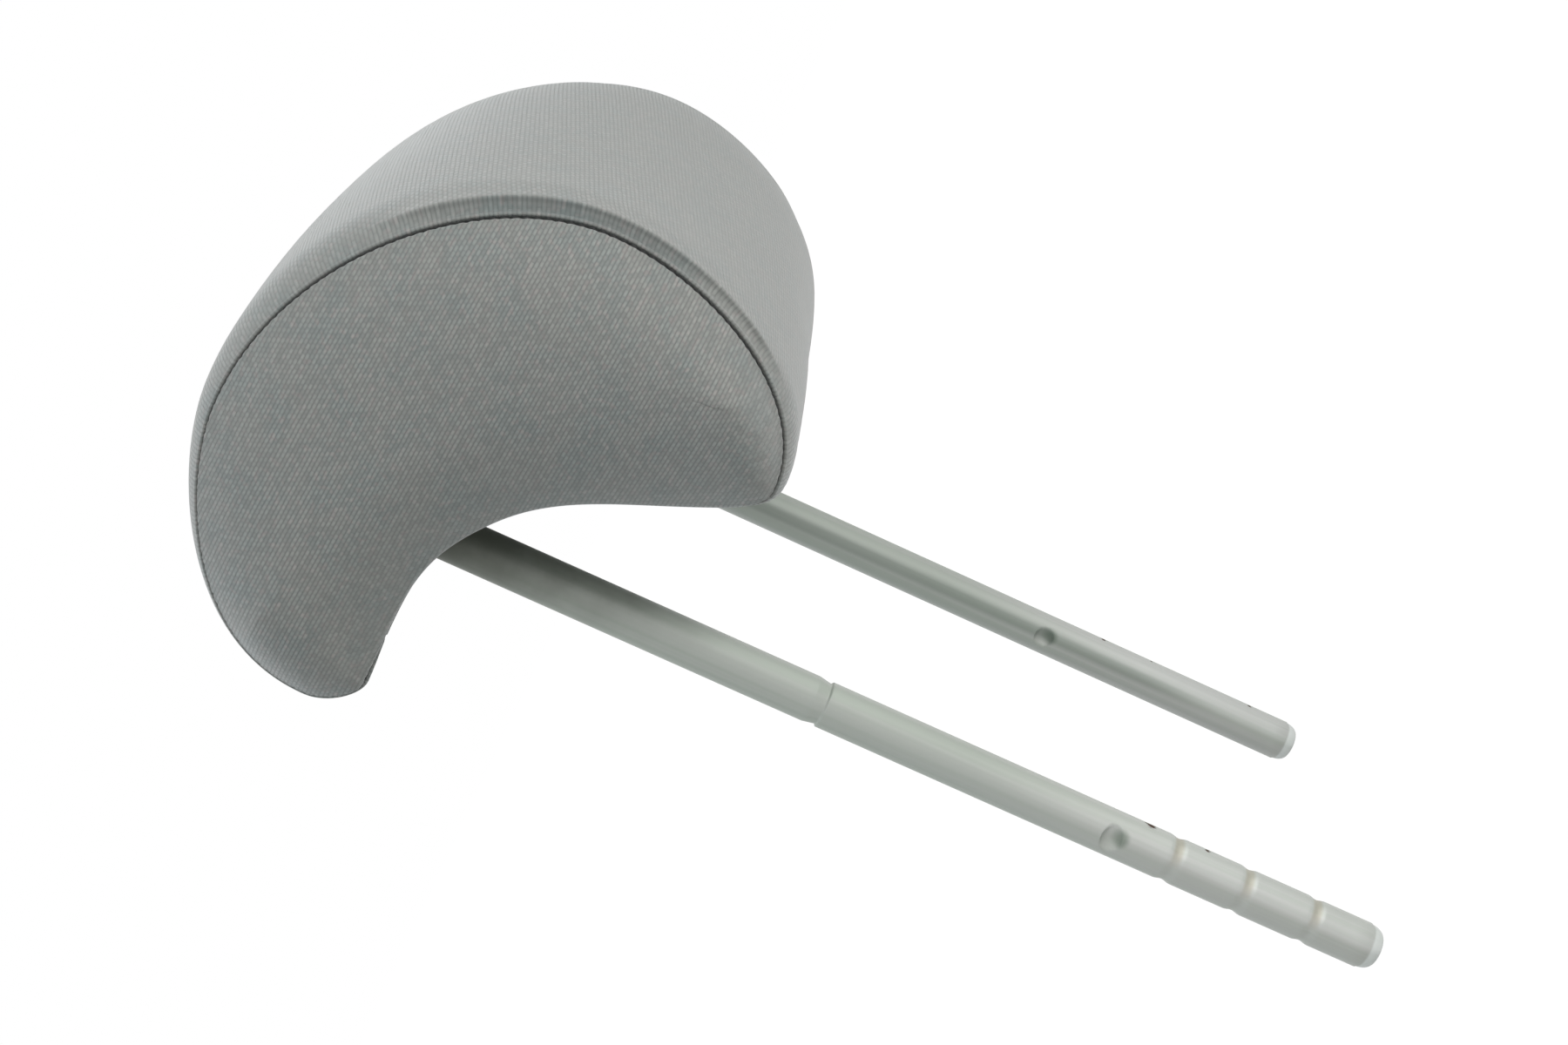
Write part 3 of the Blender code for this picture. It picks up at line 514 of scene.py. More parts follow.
def band_lip(s):
    """Section of the band's edge, from the bottom of the groove up to its outer face."""
    across = np.array((-math.sin(GROOVE_LEAN), math.cos(GROOVE_LEAN)))
    walls = side_lip(s)[:, :len(GROOVE_STATIONS)] + across * GROOVE_WIDTH
    lip = arc(np.full(len(s), LIP_RADIUS), GROOVE_LEAN + math.pi, 0.0, LIP_STEPS)
    return np.concatenate((walls, walls[:, -1:] + lip[:, 1:]), axis=1)


def stitch_wave(s):
    """0 between stitches and 1 where a stitch pulls the edge down."""
    return (0.5 - 0.5 * np.cos(2 * math.pi * s / STITCH_PITCH)) ** 2


def section_to_space(inward, outward, s, side):
    """Places in the section across a side seam, put at arc length s of the outline."""
    point, normal = LOOP.at(s)
    pushed = point[:, None] + normal[:, None] * outward[..., None]
    return np.concatenate((side * (SEAM_X - inward)[..., None], pushed), axis=-1)


def strip_half(s, side):
    """Half of a strip between the side seams: its rolled edge, then its face to the middle.

    The face's height is the rise at the seam plus the crown, less the underside's draw, the pull
    of the stitches and a Gaussian hollow round each post.
    """
    lip = band_lip(s)
    _, normal = LOOP.at(s)
    start = lip[:, -1]
    stations = np.append(np.array(HALF_STATIONS) * MM, np.inf)
    reach = SEAM_X - start[:, 0]
    inward = np.minimum(stations[None, :], reach[:, None])
    place = start[:, :1] + inward
    x = side * (SEAM_X - place)
    ss = s[:, None]
    drawn = LOOP.blend(DRAWN_IN, ss) * smoothstep(inward / DRAWN_WIDTH)
    rise = seam_rise(inward, ss, side) + crown_rise(x, normal[:, None], ss) - drawn
    outward = start[:, 1:] + rise
    outward -= STITCH_PULL * stitch_wave(ss) * np.exp(-inward / STITCH_REACH)
    from_post = np.hypot(np.abs(x) - POST_X, ss - LOOP.under_posts)
    outward -= PUCKER_DEPTH * np.exp(-(from_post / PUCKER_REACH) ** 2) * fold_share(ss)
    leant = place - ridge_lean(inward, ss)
    return np.concatenate((section_to_space(lip[..., 0], lip[..., 1], s, side),
                           section_to_space(leant, outward, s, side)), axis=1)


def whole_strip(s):
    """A strip's whole width: its left half, then its right half back from the middle."""
    return np.concatenate((strip_half(s, -1), strip_half(s, 1)[:, -2::-1]), axis=1)


def pad_form():
    """The whole pad as one closed form of even facets: the strip all round and both side panels,
    remeshed into voxels that are wider than the seams' grooves."""
    s = np.append(np.linspace(0, LOOP.total, FORM_STATIONS, endpoint=False), 0.0)
    tube = whole_strip(s)
    parts = [new_mesh("form", tube, grid_faces(len(s), tube.shape[1]))]
    parts += [side_panel("form", side) for side in (-1, 1)]
    bm = bmesh.new()
    for part in parts:
        bm.from_mesh(part.data)
        bpy.data.objects.remove(part)
    whole = bpy.data.meshes.new("pad_form")
    bm.to_mesh(whole)
    bm.free()
    form = add_object("pad_form", whole)
    voxels = form.modifiers.new("Voxels", "REMESH")
    voxels.mode = "VOXEL"
    voxels.voxel_size = SWELL_VOXEL
    even = bpy.data.meshes.new_from_object(form.evaluated_get(bpy.context.evaluated_depsgraph_get()))
    form.modifiers.clear()
    form.data = even
    return form


def mesh_points(mesh):
    places = np.empty(len(mesh.vertices) * 3)
    mesh.vertices.foreach_get("co", places)
    return places.reshape(-1, 3)


def swollen_form():
    """Rest points of the pad's form and how far each moves when its cloth is put under pressure.

    A move is capped softly: its length becomes cap * length / (cap + length).
    """
    form = pad_form()
    rest = mesh_points(form.data)
    cloth = form.modifiers.new("Swell", "CLOTH")
    cloth.settings.use_pressure = True
    cloth.settings.uniform_pressure_force = SWELL_PRESSURE
    cloth.settings.effector_weights.gravity = 0
    cloth.point_cache.frame_start = 1
    cloth.point_cache.frame_end = SWELL_FRAMES
    scene = bpy.context.scene
    for frame_number in range(1, SWELL_FRAMES + 1):
        scene.frame_set(frame_number)
    moved = mesh_points(form.evaluated_get(bpy.context.evaluated_depsgraph_get()).data)
    scene.frame_set(1)
    bpy.data.objects.remove(form)
    shift = moved - rest
    length = np.linalg.norm(shift, axis=1, keepdims=True)
    return rest, shift * SWELL_CAP / (SWELL_CAP + length)


def swell(points, form, share):
    """Points moved with the swollen form: its moves averaged with Gaussian weights, times a share."""
    if form is None:
        return points
    rest, shift = form
    flat = points.reshape(-1, 3)
    moves = np.empty_like(flat)
    for start in range(0, len(flat), SWELL_BATCH):
        batch = slice(start, start + SWELL_BATCH)
        some = flat[batch]
        gap = (some ** 2).sum(1)[:, None] + (rest ** 2).sum(1) - 2 * some @ rest.T
        beyond = np.maximum(gap - gap.min(axis=1, keepdims=True), 0)
        weight = np.exp(-beyond / (2 * SWELL_BLUR ** 2))
        moves[batch] = weight @ shift / weight.sum(axis=1, keepdims=True)
    return points + moves.reshape(points.shape) * share[..., None]


def cover_strip(name, start, end, pitch, form):
    """A panel between the side seams, from one place on the outline to another.

    Its two cut ends roll down into a cross seam by a quarter circle.
    """
    inner = np.linspace(start + CUT_MARGIN, end - CUT_MARGIN, int((end - start) / pitch))
    turn = np.linspace(math.pi / 2, 0, CUT_STEPS)
    near = LIP_RADIUS * (1 - np.sin(turn)) + GROOVE_WIDTH / 2
    drop = LIP_RADIUS * (1 - np.cos(turn))
    s = np.concatenate(([start + near[0]], start + near, inner, (end - near)[::-1], [end - near[0]]))
    level = np.zeros(len(inner))
    sunk = np.concatenate(([GROOVE_DEPTH], drop, level, drop[::-1], [GROOVE_DEPTH]))
    points = whole_strip(s)
    _, normal = LOOP.at(s)
    points[..., 1:] -= normal[:, None] * sunk[:, None, None]
    from_ridge = SEAM_X - np.abs(points[..., 0]) - RIDGE_WIDTH / 2
    from_cut = np.minimum(s - start, end - s)[:, None]
    share = smoothstep(from_ridge / SWELL_EASE) * smoothstep(from_cut / SWELL_EASE)
    points = swell(points, form, share)
    piece = new_mesh(name, points, grid_faces(len(s), points.shape[1]))
    set_uv(piece, np.stack((np.repeat(s, points.shape[1]), points[..., 0].ravel()), axis=1))
    return piece


def spine_point(v):
    """The curved middle line of a side panel, from the lobe's end to the rear end."""
    a, b, c = (np.array(p) for p in SPINE)
    v = v[..., None]
    return (1 - v) ** 2 * a + 2 * v * (1 - v) * b + v * v * c


def side_panel(name, side, form=None):
    """A side panel: rolled edge, then rings drawn in to the panel's middle line.

    The face bulges outward by a power curve of the share of the way to the middle line.
    """
    pole_a = LOOP.place["lobe_tip"]
    pole_b = (LOOP.place["rear"] + LOOP.place["rear_tip"]) / 2
    outer = np.linspace(pole_a, pole_b, SIDE_STEPS, endpoint=False)
    inner = np.linspace(pole_b, LOOP.total, SIDE_STEPS, endpoint=False)
    s = np.concatenate((outer, inner))
    half = np.arange(SIDE_STEPS) / SIDE_STEPS
    v = np.concatenate((half, 1 - half))
    spine = spine_point(np.clip((v - SPINE_END) / (1 - 2 * SPINE_END), 0, 1))
    lip = side_lip(s)
    pull = STITCH_PULL * stitch_wave(s) * (1 - fold_share(s))
    rolled = section_to_space(lip[..., 0], lip[..., 1] - pull[:, None], s, side)
    edge = rolled[:, -1]
    reach = np.linalg.norm(spine - edge[:, 1:], axis=1)
    near = np.array(SIDE_NEAR_STEPS)[:, None] / reach
    far = np.arange(1, SIDE_FAR_STEPS + 1)[:, None] / SIDE_FAR_STEPS
    share = np.concatenate((near, near[-1] + (1 - near[-1]) * far))
    bulge = SIDE_BULGE * (1 - (1 - share) ** SIDE_POWER)
    flat = edge[:, 1:] + (spine - edge[:, 1:]) * share[..., None]
    face = np.concatenate((edge[:, 0][None, :, None] + side * bulge[..., None], flat), axis=-1)
    face = swell(face, form, smoothstep(share * reach / SWELL_EASE))
    points = np.concatenate((rolled.transpose(1, 0, 2), face))
    piece = new_mesh(name, points, grid_faces(len(points), len(s), close_columns=True))
    set_uv(piece, points[..., 1:].reshape(-1, 2))
    weld(piece, PANEL_WELD, flip=side > 0)
    return piece


def seam_thread(name, side):
    """Thread in the side seam's groove: a thin tube that dips between its stitches."""
    steps = int(LOOP.total / STITCH_PITCH) * THREAD_STEPS
    s = np.arange(steps) / steps * LOOP.total
    wave = 0.5 - 0.5 * np.cos(2 * math.pi * np.arange(steps) / THREAD_STEPS)
    brim = len(GROOVE_STATIONS)
    top = (side_lip(s)[:, brim] + band_lip(s)[:, brim]) / 2
    down = np.array((math.cos(GROOVE_LEAN), math.sin(GROOVE_LEAN)))
    centre = top + down * (THREAD_DEPTH + THREAD_DIP * wave)[:, None]
    turn = np.linspace(0, 2 * math.pi, THREAD_SIDES, endpoint=False)
    radius = THREAD_RADIUS * (1 - THREAD_SQUEEZE * wave)
    inward = centre[:, :1] + radius[:, None] * np.cos(turn)
    outward = centre[:, 1:] + radius[:, None] * np.sin(turn)
    rows = section_to_space(inward, outward, s, side)
    rows = np.concatenate((rows, rows[:1]))
    piece = new_mesh(name, rows, grid_faces(len(rows), THREAD_SIDES, close_columns=True))
    weld(piece, TUBE_WELD, flip=side < 0)
    return piece


def thicken(piece):
    shell = piece.modifiers.new("Fabric", "SOLIDIFY")
    shell.thickness = FABRIC_THICKNESS
    shell.offset = -1.0


def post_stations():
    """Heights of the rings on a straight post, closer together at its marks."""
    coarse = np.arange(TIP_START + TIP_LENGTH + TIP_CLEAR, BAR_Z - BEND_RADIUS, RING_PITCH)
    marks = NOTCHES + (STOP_NOTCH,) + tuple(height for _, height, _, _ in DIMPLES)
    around = np.arange(-MARK_REACH, MARK_REACH, MARK_PITCH)
    fine = [around + height for height in marks]
    return np.unique(np.round(np.concatenate([coarse] + fine), 6))


def notch_depth(height, side):
    """Depth of the ring grooves on the left post: cosine hollows, and a stop with one steep side."""
    if side > 0:
        return np.zeros_like(height)
    depth = np.zeros_like(height)
    for notch in NOTCHES:
        near = np.clip(np.abs(height - notch) / NOTCH_HALF, 0, 1)
        depth += NOTCH_DEPTH * (0.5 + 0.5 * np.cos(math.pi * near))
    above = height - STOP_NOTCH
    ramp = np.where(above >= 0, 1 - above / STOP_RAMP, 1 + above / STOP_SHOULDER)
    return depth + STOP_DEPTH * np.clip(ramp, 0, 1)


def post_rings(side):
    """A straight post from its closed, rounded tip upwards, as heights and a grid of radii.

    A dimple is an oval hollow whose depth falls off as a power of 1 minus the distance squared.
    """
    tip = np.linspace(math.pi / 2, 0, TIP_RINGS)
    flat = POST_RADIUS - TIP_STEP - TIP_INSET
    level = TIP_START + TIP_LENGTH * (1 - np.sin(tip))
    straight = post_stations()
    heights = np.concatenate(((TIP_START, TIP_START), level, straight))
    radii = np.concatenate(((0, flat * TIP_FLAT_SHARE), flat + TIP_INSET * np.cos(tip),
                            np.full(len(straight), POST_RADIUS)))
    radii = (radii - notch_depth(heights, side))[:, None] * np.ones(POST_SIDES)
    for dimple_side, level, half_length, half_width in DIMPLES:
        if dimple_side == side:
            centre = DIMPLE_TURN if side > 0 else math.pi - DIMPLE_TURN
            around = (np.mod(ring_turns() - centre + math.pi, 2 * math.pi) - math.pi) * POST_RADIUS
            far = np.hypot((heights[:, None] - level) / half_length, around[None, :] / half_width)
            radii -= DIMPLE_DEPTH * np.clip(1 - far ** 2, 0, 1) ** DIMPLE_POWER
    return heights, radii


def ring_turns():
    return np.linspace(0, 2 * math.pi, POST_SIDES, endpoint=False)


def make_posts():
    """One bent bar: rings up the left post, round both bends and down the right post.

    A ring's points are its centre plus its radius times (cosine of the turn along the inner
    direction, sine along +Y), where the inner direction turns from +X to -X on the way round.
    """
    left_heights, left_radii = post_rings(-1)
    right_heights, right_radii = post_rings(1)
    bend = np.linspace(0, math.pi / 2, BEND_STEPS)
    angles = np.concatenate((np.zeros(len(left_heights)), bend, bend + math.pi / 2,
                             np.full(len(right_heights), math.pi)))
    inner = np.stack((np.cos(angles), np.zeros(len(angles)), -np.sin(angles)), axis=1)
    hub_x = POST_X - BEND_RADIUS
    level = BAR_Z - BEND_RADIUS
    hubs_x = np.where(np.arange(len(angles)) < len(left_heights) + BEND_STEPS, -hub_x, hub_x)
    hubs_z = np.concatenate((left_heights, np.full(2 * BEND_STEPS, level), right_heights[::-1]))
    hubs = np.stack((hubs_x, np.zeros(len(angles)), hubs_z), axis=1)
    bent_radii = np.full((2 * BEND_STEPS, POST_SIDES), POST_RADIUS)
    radii = np.concatenate((left_radii, bent_radii, right_radii[::-1]))
    turn = ring_turns()[None, :, None]
    spokes = np.cos(turn) * inner[:, None] + np.sin(turn) * np.array((0, 1, 0))
    rows = (hubs - BEND_RADIUS * inner)[:, None] + radii[..., None] * spokes
    piece = new_mesh("steel_post_frame", rows, grid_faces(len(rows), POST_SIDES, close_columns=True))
    weld(piece, TUBE_WELD)
    return piece


def make_camera():
    data = bpy.data.cameras.new("photo_camera")
    data.sensor_width = SENSOR_WIDTH
    data.lens = FOCAL_PIXELS / IMAGE_WIDTH * SENSOR_WIDTH
    camera = add_object("photo_camera", data)
    right = Vector(CAMERA_RIGHT).normalized()
    up = Vector(CAMERA_UP)
    up = (up - right * up.dot(right)).normalized()
    back = right.cross(up)
    turn = Matrix((right, up, back)).transposed().to_4x4()
    camera.matrix_world = Matrix.Translation(CAMERA_PLACE) @ turn
    bpy.context.scene.camera = camera


def feed(tree, target, value):
    """Links an output to an input, or sets the input's own value."""
    if isinstance(value, bpy.types.NodeSocket):
        tree.links.new(value, target)
    else:
        target.default_value = value


def fill(tree, made, values):
    """Feeds a node's inputs, which are given by their names or numbers."""
    for key, value in values.items():
        feed(tree, made.inputs[key], value)


def node(tree, kind, values=None, **settings):
    """A new shader node with some of its settings and inputs."""
    made = tree.nodes.new("ShaderNode" + kind)
    for key, value in settings.items():
        setattr(made, key, value)
    fill(tree, made, values or {})
    return made


def math_node(tree, operation, *values, clamp=False):
    values = dict(enumerate(values))
    return node(tree, "Math", values, operation=operation, use_clamp=clamp).outputs[0]


def times(tree, first, second):
    return math_node(tree, "MULTIPLY", first, second)


def times_plus(tree, value, factor, offset):
    """A value times a factor, plus an offset."""
    return math_node(tree, "MULTIPLY_ADD", value, factor, offset)


def one_minus(tree, value):
    return math_node(tree, "SUBTRACT", 1.0, value)


def gap_to(tree, value, level):
    """How far a value is from a level."""
    return math_node(tree, "ABSOLUTE", math_node(tree, "SUBTRACT", value, level))


def split_axes(tree, vector):
    return node(tree, "SeparateXYZ", {0: vector}).outputs


def distance_to(tree, coords, place):
    return node(tree, "VectorMath", {0: coords, 1: place}, operation="DISTANCE").outputs["Value"]


def strongest(tree, masks):
    """The largest of several masks at each point."""
    result = masks[0]
    for mask in masks[1:]:
        result = math_node(tree, "MAXIMUM", result, mask)
    return result


def mix_color(tree, share, first, second, blend="MIX"):
    made = node(tree, "Mix", data_type="RGBA", blend_type=blend)
    fill(tree, made, {"Factor": share, "A": first, "B": second})
    return made.outputs["Result"]


def noise(tree, vector, scale, detail=2.0, roughness=0.5):
    values = {"Vector": vector, "Scale": scale, "Detail": detail, "Roughness": roughness}
    return node(tree, "TexNoise", values).outputs["Fac"]


def ramp(tree, value, low, high):
    """0 below one value and 1 above another, eased between them."""
    values = {"Value": value, "From Min": low, "From Max": high}
    return node(tree, "MapRange", values, interpolation_type="SMOOTHSTEP").outputs["Result"]


def mapped(tree, vector, scale=(1, 1, 1), rotation=(0, 0, 0)):
    """A vector stretched and turned, so that a pattern on it is too."""
    values = {"Vector": vector, "Scale": scale, "Rotation": rotation}
    return node(tree, "Mapping", values).outputs["Vector"]


def bump(tree, height, distance):
    return node(tree, "Bump", {"Height": height, "Distance": distance}).outputs["Normal"]


def new_group(name, inputs, outputs):
    """A shader node group with named sockets: each is a name, a kind and a default value."""
    group = bpy.data.node_groups.new(name, "ShaderNodeTree")
    for label, kind, value in inputs:
        socket = group.interface.new_socket(label, in_out="INPUT", socket_type="NodeSocket" + kind)
        if value is not None:
            socket.default_value = value
    for label, kind in outputs:
        group.interface.new_socket(label, in_out="OUTPUT", socket_type="NodeSocket" + kind)
    return group, group.nodes.new("NodeGroupInput").outputs, group.nodes.new("NodeGroupOutput").inputs


def use_group(tree, group, **values):
    """A group placed in a tree, and its outputs. An underscore stands for a space in a name."""
    made = node(tree, "Group", node_tree=group)
    fill(tree, made, {key.replace("_", " "): value for key, value in values.items()})
    return made.outputs


def sine_ridges(tree, phase, power):
    """The size of the sine of pi times a phase, to a power that squares its ridges."""
    wave = math_node(tree, "SINE", times(tree, phase, math.pi))
    return math_node(tree, "POWER", math_node(tree, "ABSOLUTE", wave), power)


def weave_group():
    """Woven yarns: ribs along one direction, each broken into floats that step over to the next.

    Height is the rib's wave times a slower wave along it whose phase moves on by Step for each
    rib, so that a Step of 0 gives plain cross ribs and a Step of 0.5 or less gives a twill. Each
    float is a little higher or lower than its neighbours.
    """
    group, put, out = new_group(
        "woven_yarns",
        (("Vector", "Vector", None), ("Pitch", "Float", 0.0012), ("Float Length", "Float", 0.0024),
         ("Step", "Float", 0.25), ("Unevenness", "Float", 0.2), ("Break", "Float", 0.6)),
        (("Height", "Float"), ("Shade", "Float"), ("Fuzz", "Float")))
    parts = split_axes(group, put["Vector"])
    wander = math_node(group, "SUBTRACT", noise(group, put["Vector"], WANDER_SCALE), 0.5)
    ribs = math_node(group, "DIVIDE", parts["X"], put["Pitch"])
    across = times_plus(group, wander, put["Unevenness"], ribs)
    along = math_node(group, "DIVIDE", parts["Y"], put["Float Length"])
    stepped = times_plus(group, math_node(group, "FLOOR", across), put["Step"], along)
    rib = sine_ridges(group, across, RIB_POWER)
    floats = sine_ridges(group, stepped, FLOAT_POWER)
    floats = times_plus(group, floats, put["Break"], one_minus(group, put["Break"]))
    number = {"X": math_node(group, "FLOOR", across), "Y": math_node(group, "FLOOR", stepped)}
    cell = node(group, "CombineXYZ", number).outputs["Vector"]
    yarn = node(group, "TexWhiteNoise", {"Vector": cell}).outputs["Value"]
    level = times_plus(group, yarn, FLOAT_SPREAD, FLOAT_LOW)
    height = times(group, times(group, rib, floats), level)
    fibre = noise(group, mapped(group, put["Vector"], FIBRE_STRETCH), FIBRE_SCALE, 3.0)
    feed(group, out["Height"], times_plus(group, fibre, FIBRE_SHARE, height))
    feed(group, out["Shade"], height)
    feed(group, out["Fuzz"], fibre)
    return group


def melange_group():
    """Colour of a heathered cloth: its base, mottled in soft patches and speckled by single yarns,
    times a shade that runs from the groove's level to 1."""
    grey = (0.4, 0.4, 0.4, 1)
    group, put, out = new_group(
        "heathered_colour",
        (("Vector", "Vector", None), ("Base", "Color", grey), ("Warm", "Color", grey),
         ("Cool", "Color", grey), ("Shade", "Float", 0.5), ("Groove", "Float", 0.6)),
        (("Color", "Color"),))
    patches = ramp(group, noise(group, put["Vector"], PATCH_SCALE, 3.0, 0.6), *PATCH_RANGE)
    yarns = ramp(group, noise(group, put["Vector"], YARN_SCALE, 1.0), *YARN_RANGE)
    color = mix_color(group, patches, put["Base"], put["Cool"])
    color = mix_color(group, yarns, color, put["Warm"])
    light = times_plus(group, put["Shade"], one_minus(group, put["Groove"]), put["Groove"])
    feed(group, out["Color"], mix_color(group, 1.0, color, light, "MULTIPLY"))
    return group


def new_material(name):
    material = bpy.data.materials.new(name)
    material.use_nodes = True
    tree = material.node_tree
    return material, tree, tree.nodes["Principled BSDF"]


def painted_ridge_shade(tree, coords):
    """Where shade is painted on the band: under the ridge, along the front half of both side seams."""
    parts = split_axes(tree, coords)
    inward = math_node(tree, "SUBTRACT", SEAM_X, math_node(tree, "ABSOLUTE", parts["Y"]))
    strip = times(tree, ramp(tree, inward, *RIDGE_SHADE_RISE), ramp(tree, inward, *RIDGE_SHADE_FALL))
    start, end = (np.add(LOOP.place["front"], edges) for edges in (RIDGE_SHADE_START, RIDGE_SHADE_END))
    along = times(tree, ramp(tree, parts["X"], *start), ramp(tree, parts["X"], *end))
    return times(tree, strip, along)


def cloth_material(cloth, weave, melange):
    """A cloth's finish: its weave gives the relief and shades the heathered colour."""
    material, tree, shader = new_material(cloth.name)
    coords = node(tree, "TexCoord").outputs["UV"]
    turned = mapped(tree, coords, rotation=(0, 0, math.radians(cloth.turn)))
    yarns = use_group(tree, weave, Vector=turned, Pitch=cloth.pitch, Float_Length=cloth.float_length,
                      Step=cloth.step, Unevenness=YARN_UNEVENNESS, Break=cloth.broken)
    base, warm, cool = ((*color, 1) for color in CLOTH_COLORS)
    color = use_group(tree, melange, Vector=coords, Base=base, Warm=warm, Cool=cool,
                      Shade=yarns["Shade"], Groove=cloth.groove)["Color"]
    # Painted shade: the band darkened in the strip under the ridge
    if cloth.soiled:
        color = mix_color(tree, painted_ridge_shade(tree, coords), color, RIDGE_SHADE_TONE, "MULTIPLY")
    rough = times_plus(tree, yarns["Fuzz"], FUZZ_SPREAD, cloth.roughness - FUZZ_SPREAD / 2)
    fill(tree, shader, {"Base Color": color, "Roughness": rough, "Specular IOR Level": CLOTH_SPECULAR,
                        "Sheen Weight": CLOTH_SHEEN, "Sheen Roughness": CLOTH_SHEEN_ROUGHNESS,
                        "Normal": bump(tree, yarns["Height"], cloth.depth)})
    return material


def plain_material(name, color, roughness, metallic=0.0, grain=0.00004, grain_scale=900.0):
    """Moulded or sewn small parts: a plain colour with a fine grain and slight mottling."""
    material, tree, shader = new_material(name)
    coords = node(tree, "TexCoord").outputs["Object"]
    fine = noise(tree, coords, grain_scale, 3.0)
    shade = times_plus(tree, noise(tree, coords, PLAIN_MOTTLE_SCALE, 3.0), *PLAIN_MOTTLE)
    spread = PLAIN_ROUGHNESS_SPREAD
    fill(tree, shader, {"Base Color": mix_color(tree, 1.0, (*color, 1), shade, "MULTIPLY"),
                        "Roughness": times_plus(tree, fine, spread, roughness - spread / 2),
                        "Metallic": metallic, "Normal": bump(tree, fine, grain)})
    return material


def coat_tone(tree, coords, low, painted_lit, streaks):
    """Colour of the coat: lighter low down, painted light on the side towards the head low down, and
    streaked by drawing.
    """
    drawn = noise(tree, mapped(tree, coords, DRAWN_STRETCH), DRAWN_SCALE)
    tone = mix_color(tree, low, COAT_TONE, COAT_LOW_TONE)
    tone = mix_color(tree, painted_lit, tone, COAT_PAINTED_LIT_TONE)
    tone = mix_color(tree, ramp(tree, drawn, *DRAWN_RANGE), tone, DRAWN_TINT, "MULTIPLY")
    return mix_color(tree, times(tree, streaks, STREAK_SHARE), tone, STREAK_TONE)


def painted_pad_shade(tree, parts, mottle):
    """Where the pad's shade and dark reflection are painted on the posts: above a height that rises
    with y and wanders.
    """
    height = times_plus(tree, mottle, PAD_SHADE_WANDER, parts["Z"])
    height = times_plus(tree, parts["Y"], PAD_SHADE_LEAN, height)
    return ramp(tree, height, *PAD_SHADE_HEIGHTS)


def right_post_tone(tree, tone, parts):
    """The right post darkened all over, and more by a painted dark reflection in a streak along its
    side.
    """
    right = ramp(tree, parts["X"], *RIGHT_PLACES)
    tone = mix_color(tree, times(tree, right, RIGHT_TINT_SHARE), tone, RIGHT_TINT, "MULTIPLY")
    gap = gap_to(tree, parts["Y"], SHADE_DEPTH)
    raised = times(tree, right, ramp(tree, parts["Z"], *SHADE_HEIGHTS))
    shade = times(tree, ramp(tree, gap, *SHADE_RANGE), raised)
    return mix_color(tree, times(tree, shade, SHADE_TINT_SHARE), tone, SHADE_TINT, "MULTIPLY")


def groove_mask(tree, parts):
    """The ring grooves of the left post, on the side towards the head."""
    rings = [one_minus(tree, ramp(tree, gap_to(tree, parts["Z"], height), *GROOVE_TONE_RANGE))
             for height in NOTCHES]
    left = math_node(tree, "LESS_THAN", parts["X"], 0.0)
    front = ramp(tree, parts["Y"], *GROOVE_TONE_DEPTHS)
    return times(tree, times(tree, strongest(tree, rings), left), front)


def chip_mask(tree, coords, fine):
    """Chips of the coat: ragged round spots on the side towards the head."""
    chips = []
    for x, height, size in POST_CHIPS:
        gap = distance_to(tree, coords, (x, -POST_RADIUS, height))
        reach = times_plus(tree, fine, size * CHIP_RAGGED, gap)
        chips.append(one_minus(tree, ramp(tree, reach, size * CHIP_EDGE[0], size * CHIP_EDGE[1])))
    return strongest(tree, chips)


def steel_material():
    """Dull grey-green coated steel: drawn streaks along the posts, a few chips down to rust, a brownish
    tint in the grooves, painted shade where the posts enter the pad and in the dimples, painted light
    on the side towards the head low down, and a painted dark reflection along the right post."""
    material, tree, shader = new_material("post_steel")
    coords = node(tree, "TexCoord").outputs["Object"]
    parts = split_axes(tree, coords)
    streaks = noise(tree, mapped(tree, coords, STREAK_STRETCH), STREAK_SCALE, 3.0)
    fine = noise(tree, mapped(tree, coords, FINE_STRETCH), FINE_SCALE)
    mottle = noise(tree, coords, MOTTLE_SCALE, 3.0)
    low = ramp(tree, parts["Z"], *LOW_HEIGHTS)
    # Painted light: low down, the side towards the head is lighter and glossier
    painted_lit = times(tree, low, ramp(tree, parts["Y"], *PAINTED_LIT_DEPTHS))
    tone = coat_tone(tree, coords, low, painted_lit, streaks)
    # Painted shade and dark reflection of the pad where the posts enter it
    tone = mix_color(tree, painted_pad_shade(tree, parts, mottle), tone, PAD_SHADE_TONE)
    tone = right_post_tone(tree, tone, parts)
    tip_end = TIP_START + TIP_LENGTH
    tips = ramp(tree, parts["Z"], tip_end, TIP_START + TIP_TONE_START * TIP_LENGTH)
    tone = mix_color(tree, times(tree, tips, TIP_TONE_SHARE), tone, TIP_TONE)
    # Painted shade in the lower part of each dimple
    for place in DIMPLE_SHADE_PLACES:
        dimple_shade = ramp(tree, distance_to(tree, coords, place), *DIMPLE_SHADE_RANGE)
        tone = mix_color(tree, dimple_shade, tone, DIMPLE_SHADE_TINT, "MULTIPLY")
    grooves = times(tree, groove_mask(tree, parts), GROOVE_TONE_SHARE)
    tone = mix_color(tree, grooves, tone, GROOVE_TONE)
    chips = chip_mask(tree, coords, fine)
    metal = times_plus(tree, painted_lit, COAT_LIT_SIDE_METALLIC, COAT_METALLIC)
    rough = times_plus(tree, streaks, STREAK_ROUGHNESS, COAT_ROUGHNESS)
    relief = times_plus(tree, streaks, STREAK_RELIEF, times(tree, chips, CHIP_RELIEF))
    relief = times_plus(tree, mottle, MOTTLE_RELIEF, relief)
    fill(tree, shader, {"Base Color": mix_color(tree, chips, tone, RUST_TONE),
                        "Metallic": times(tree, one_minus(tree, chips), metal),
                        "Roughness": times_plus(tree, chips, CHIP_ROUGHNESS, rough),
                        "Normal": bump(tree, relief, COAT_RELIEF)})
    return material


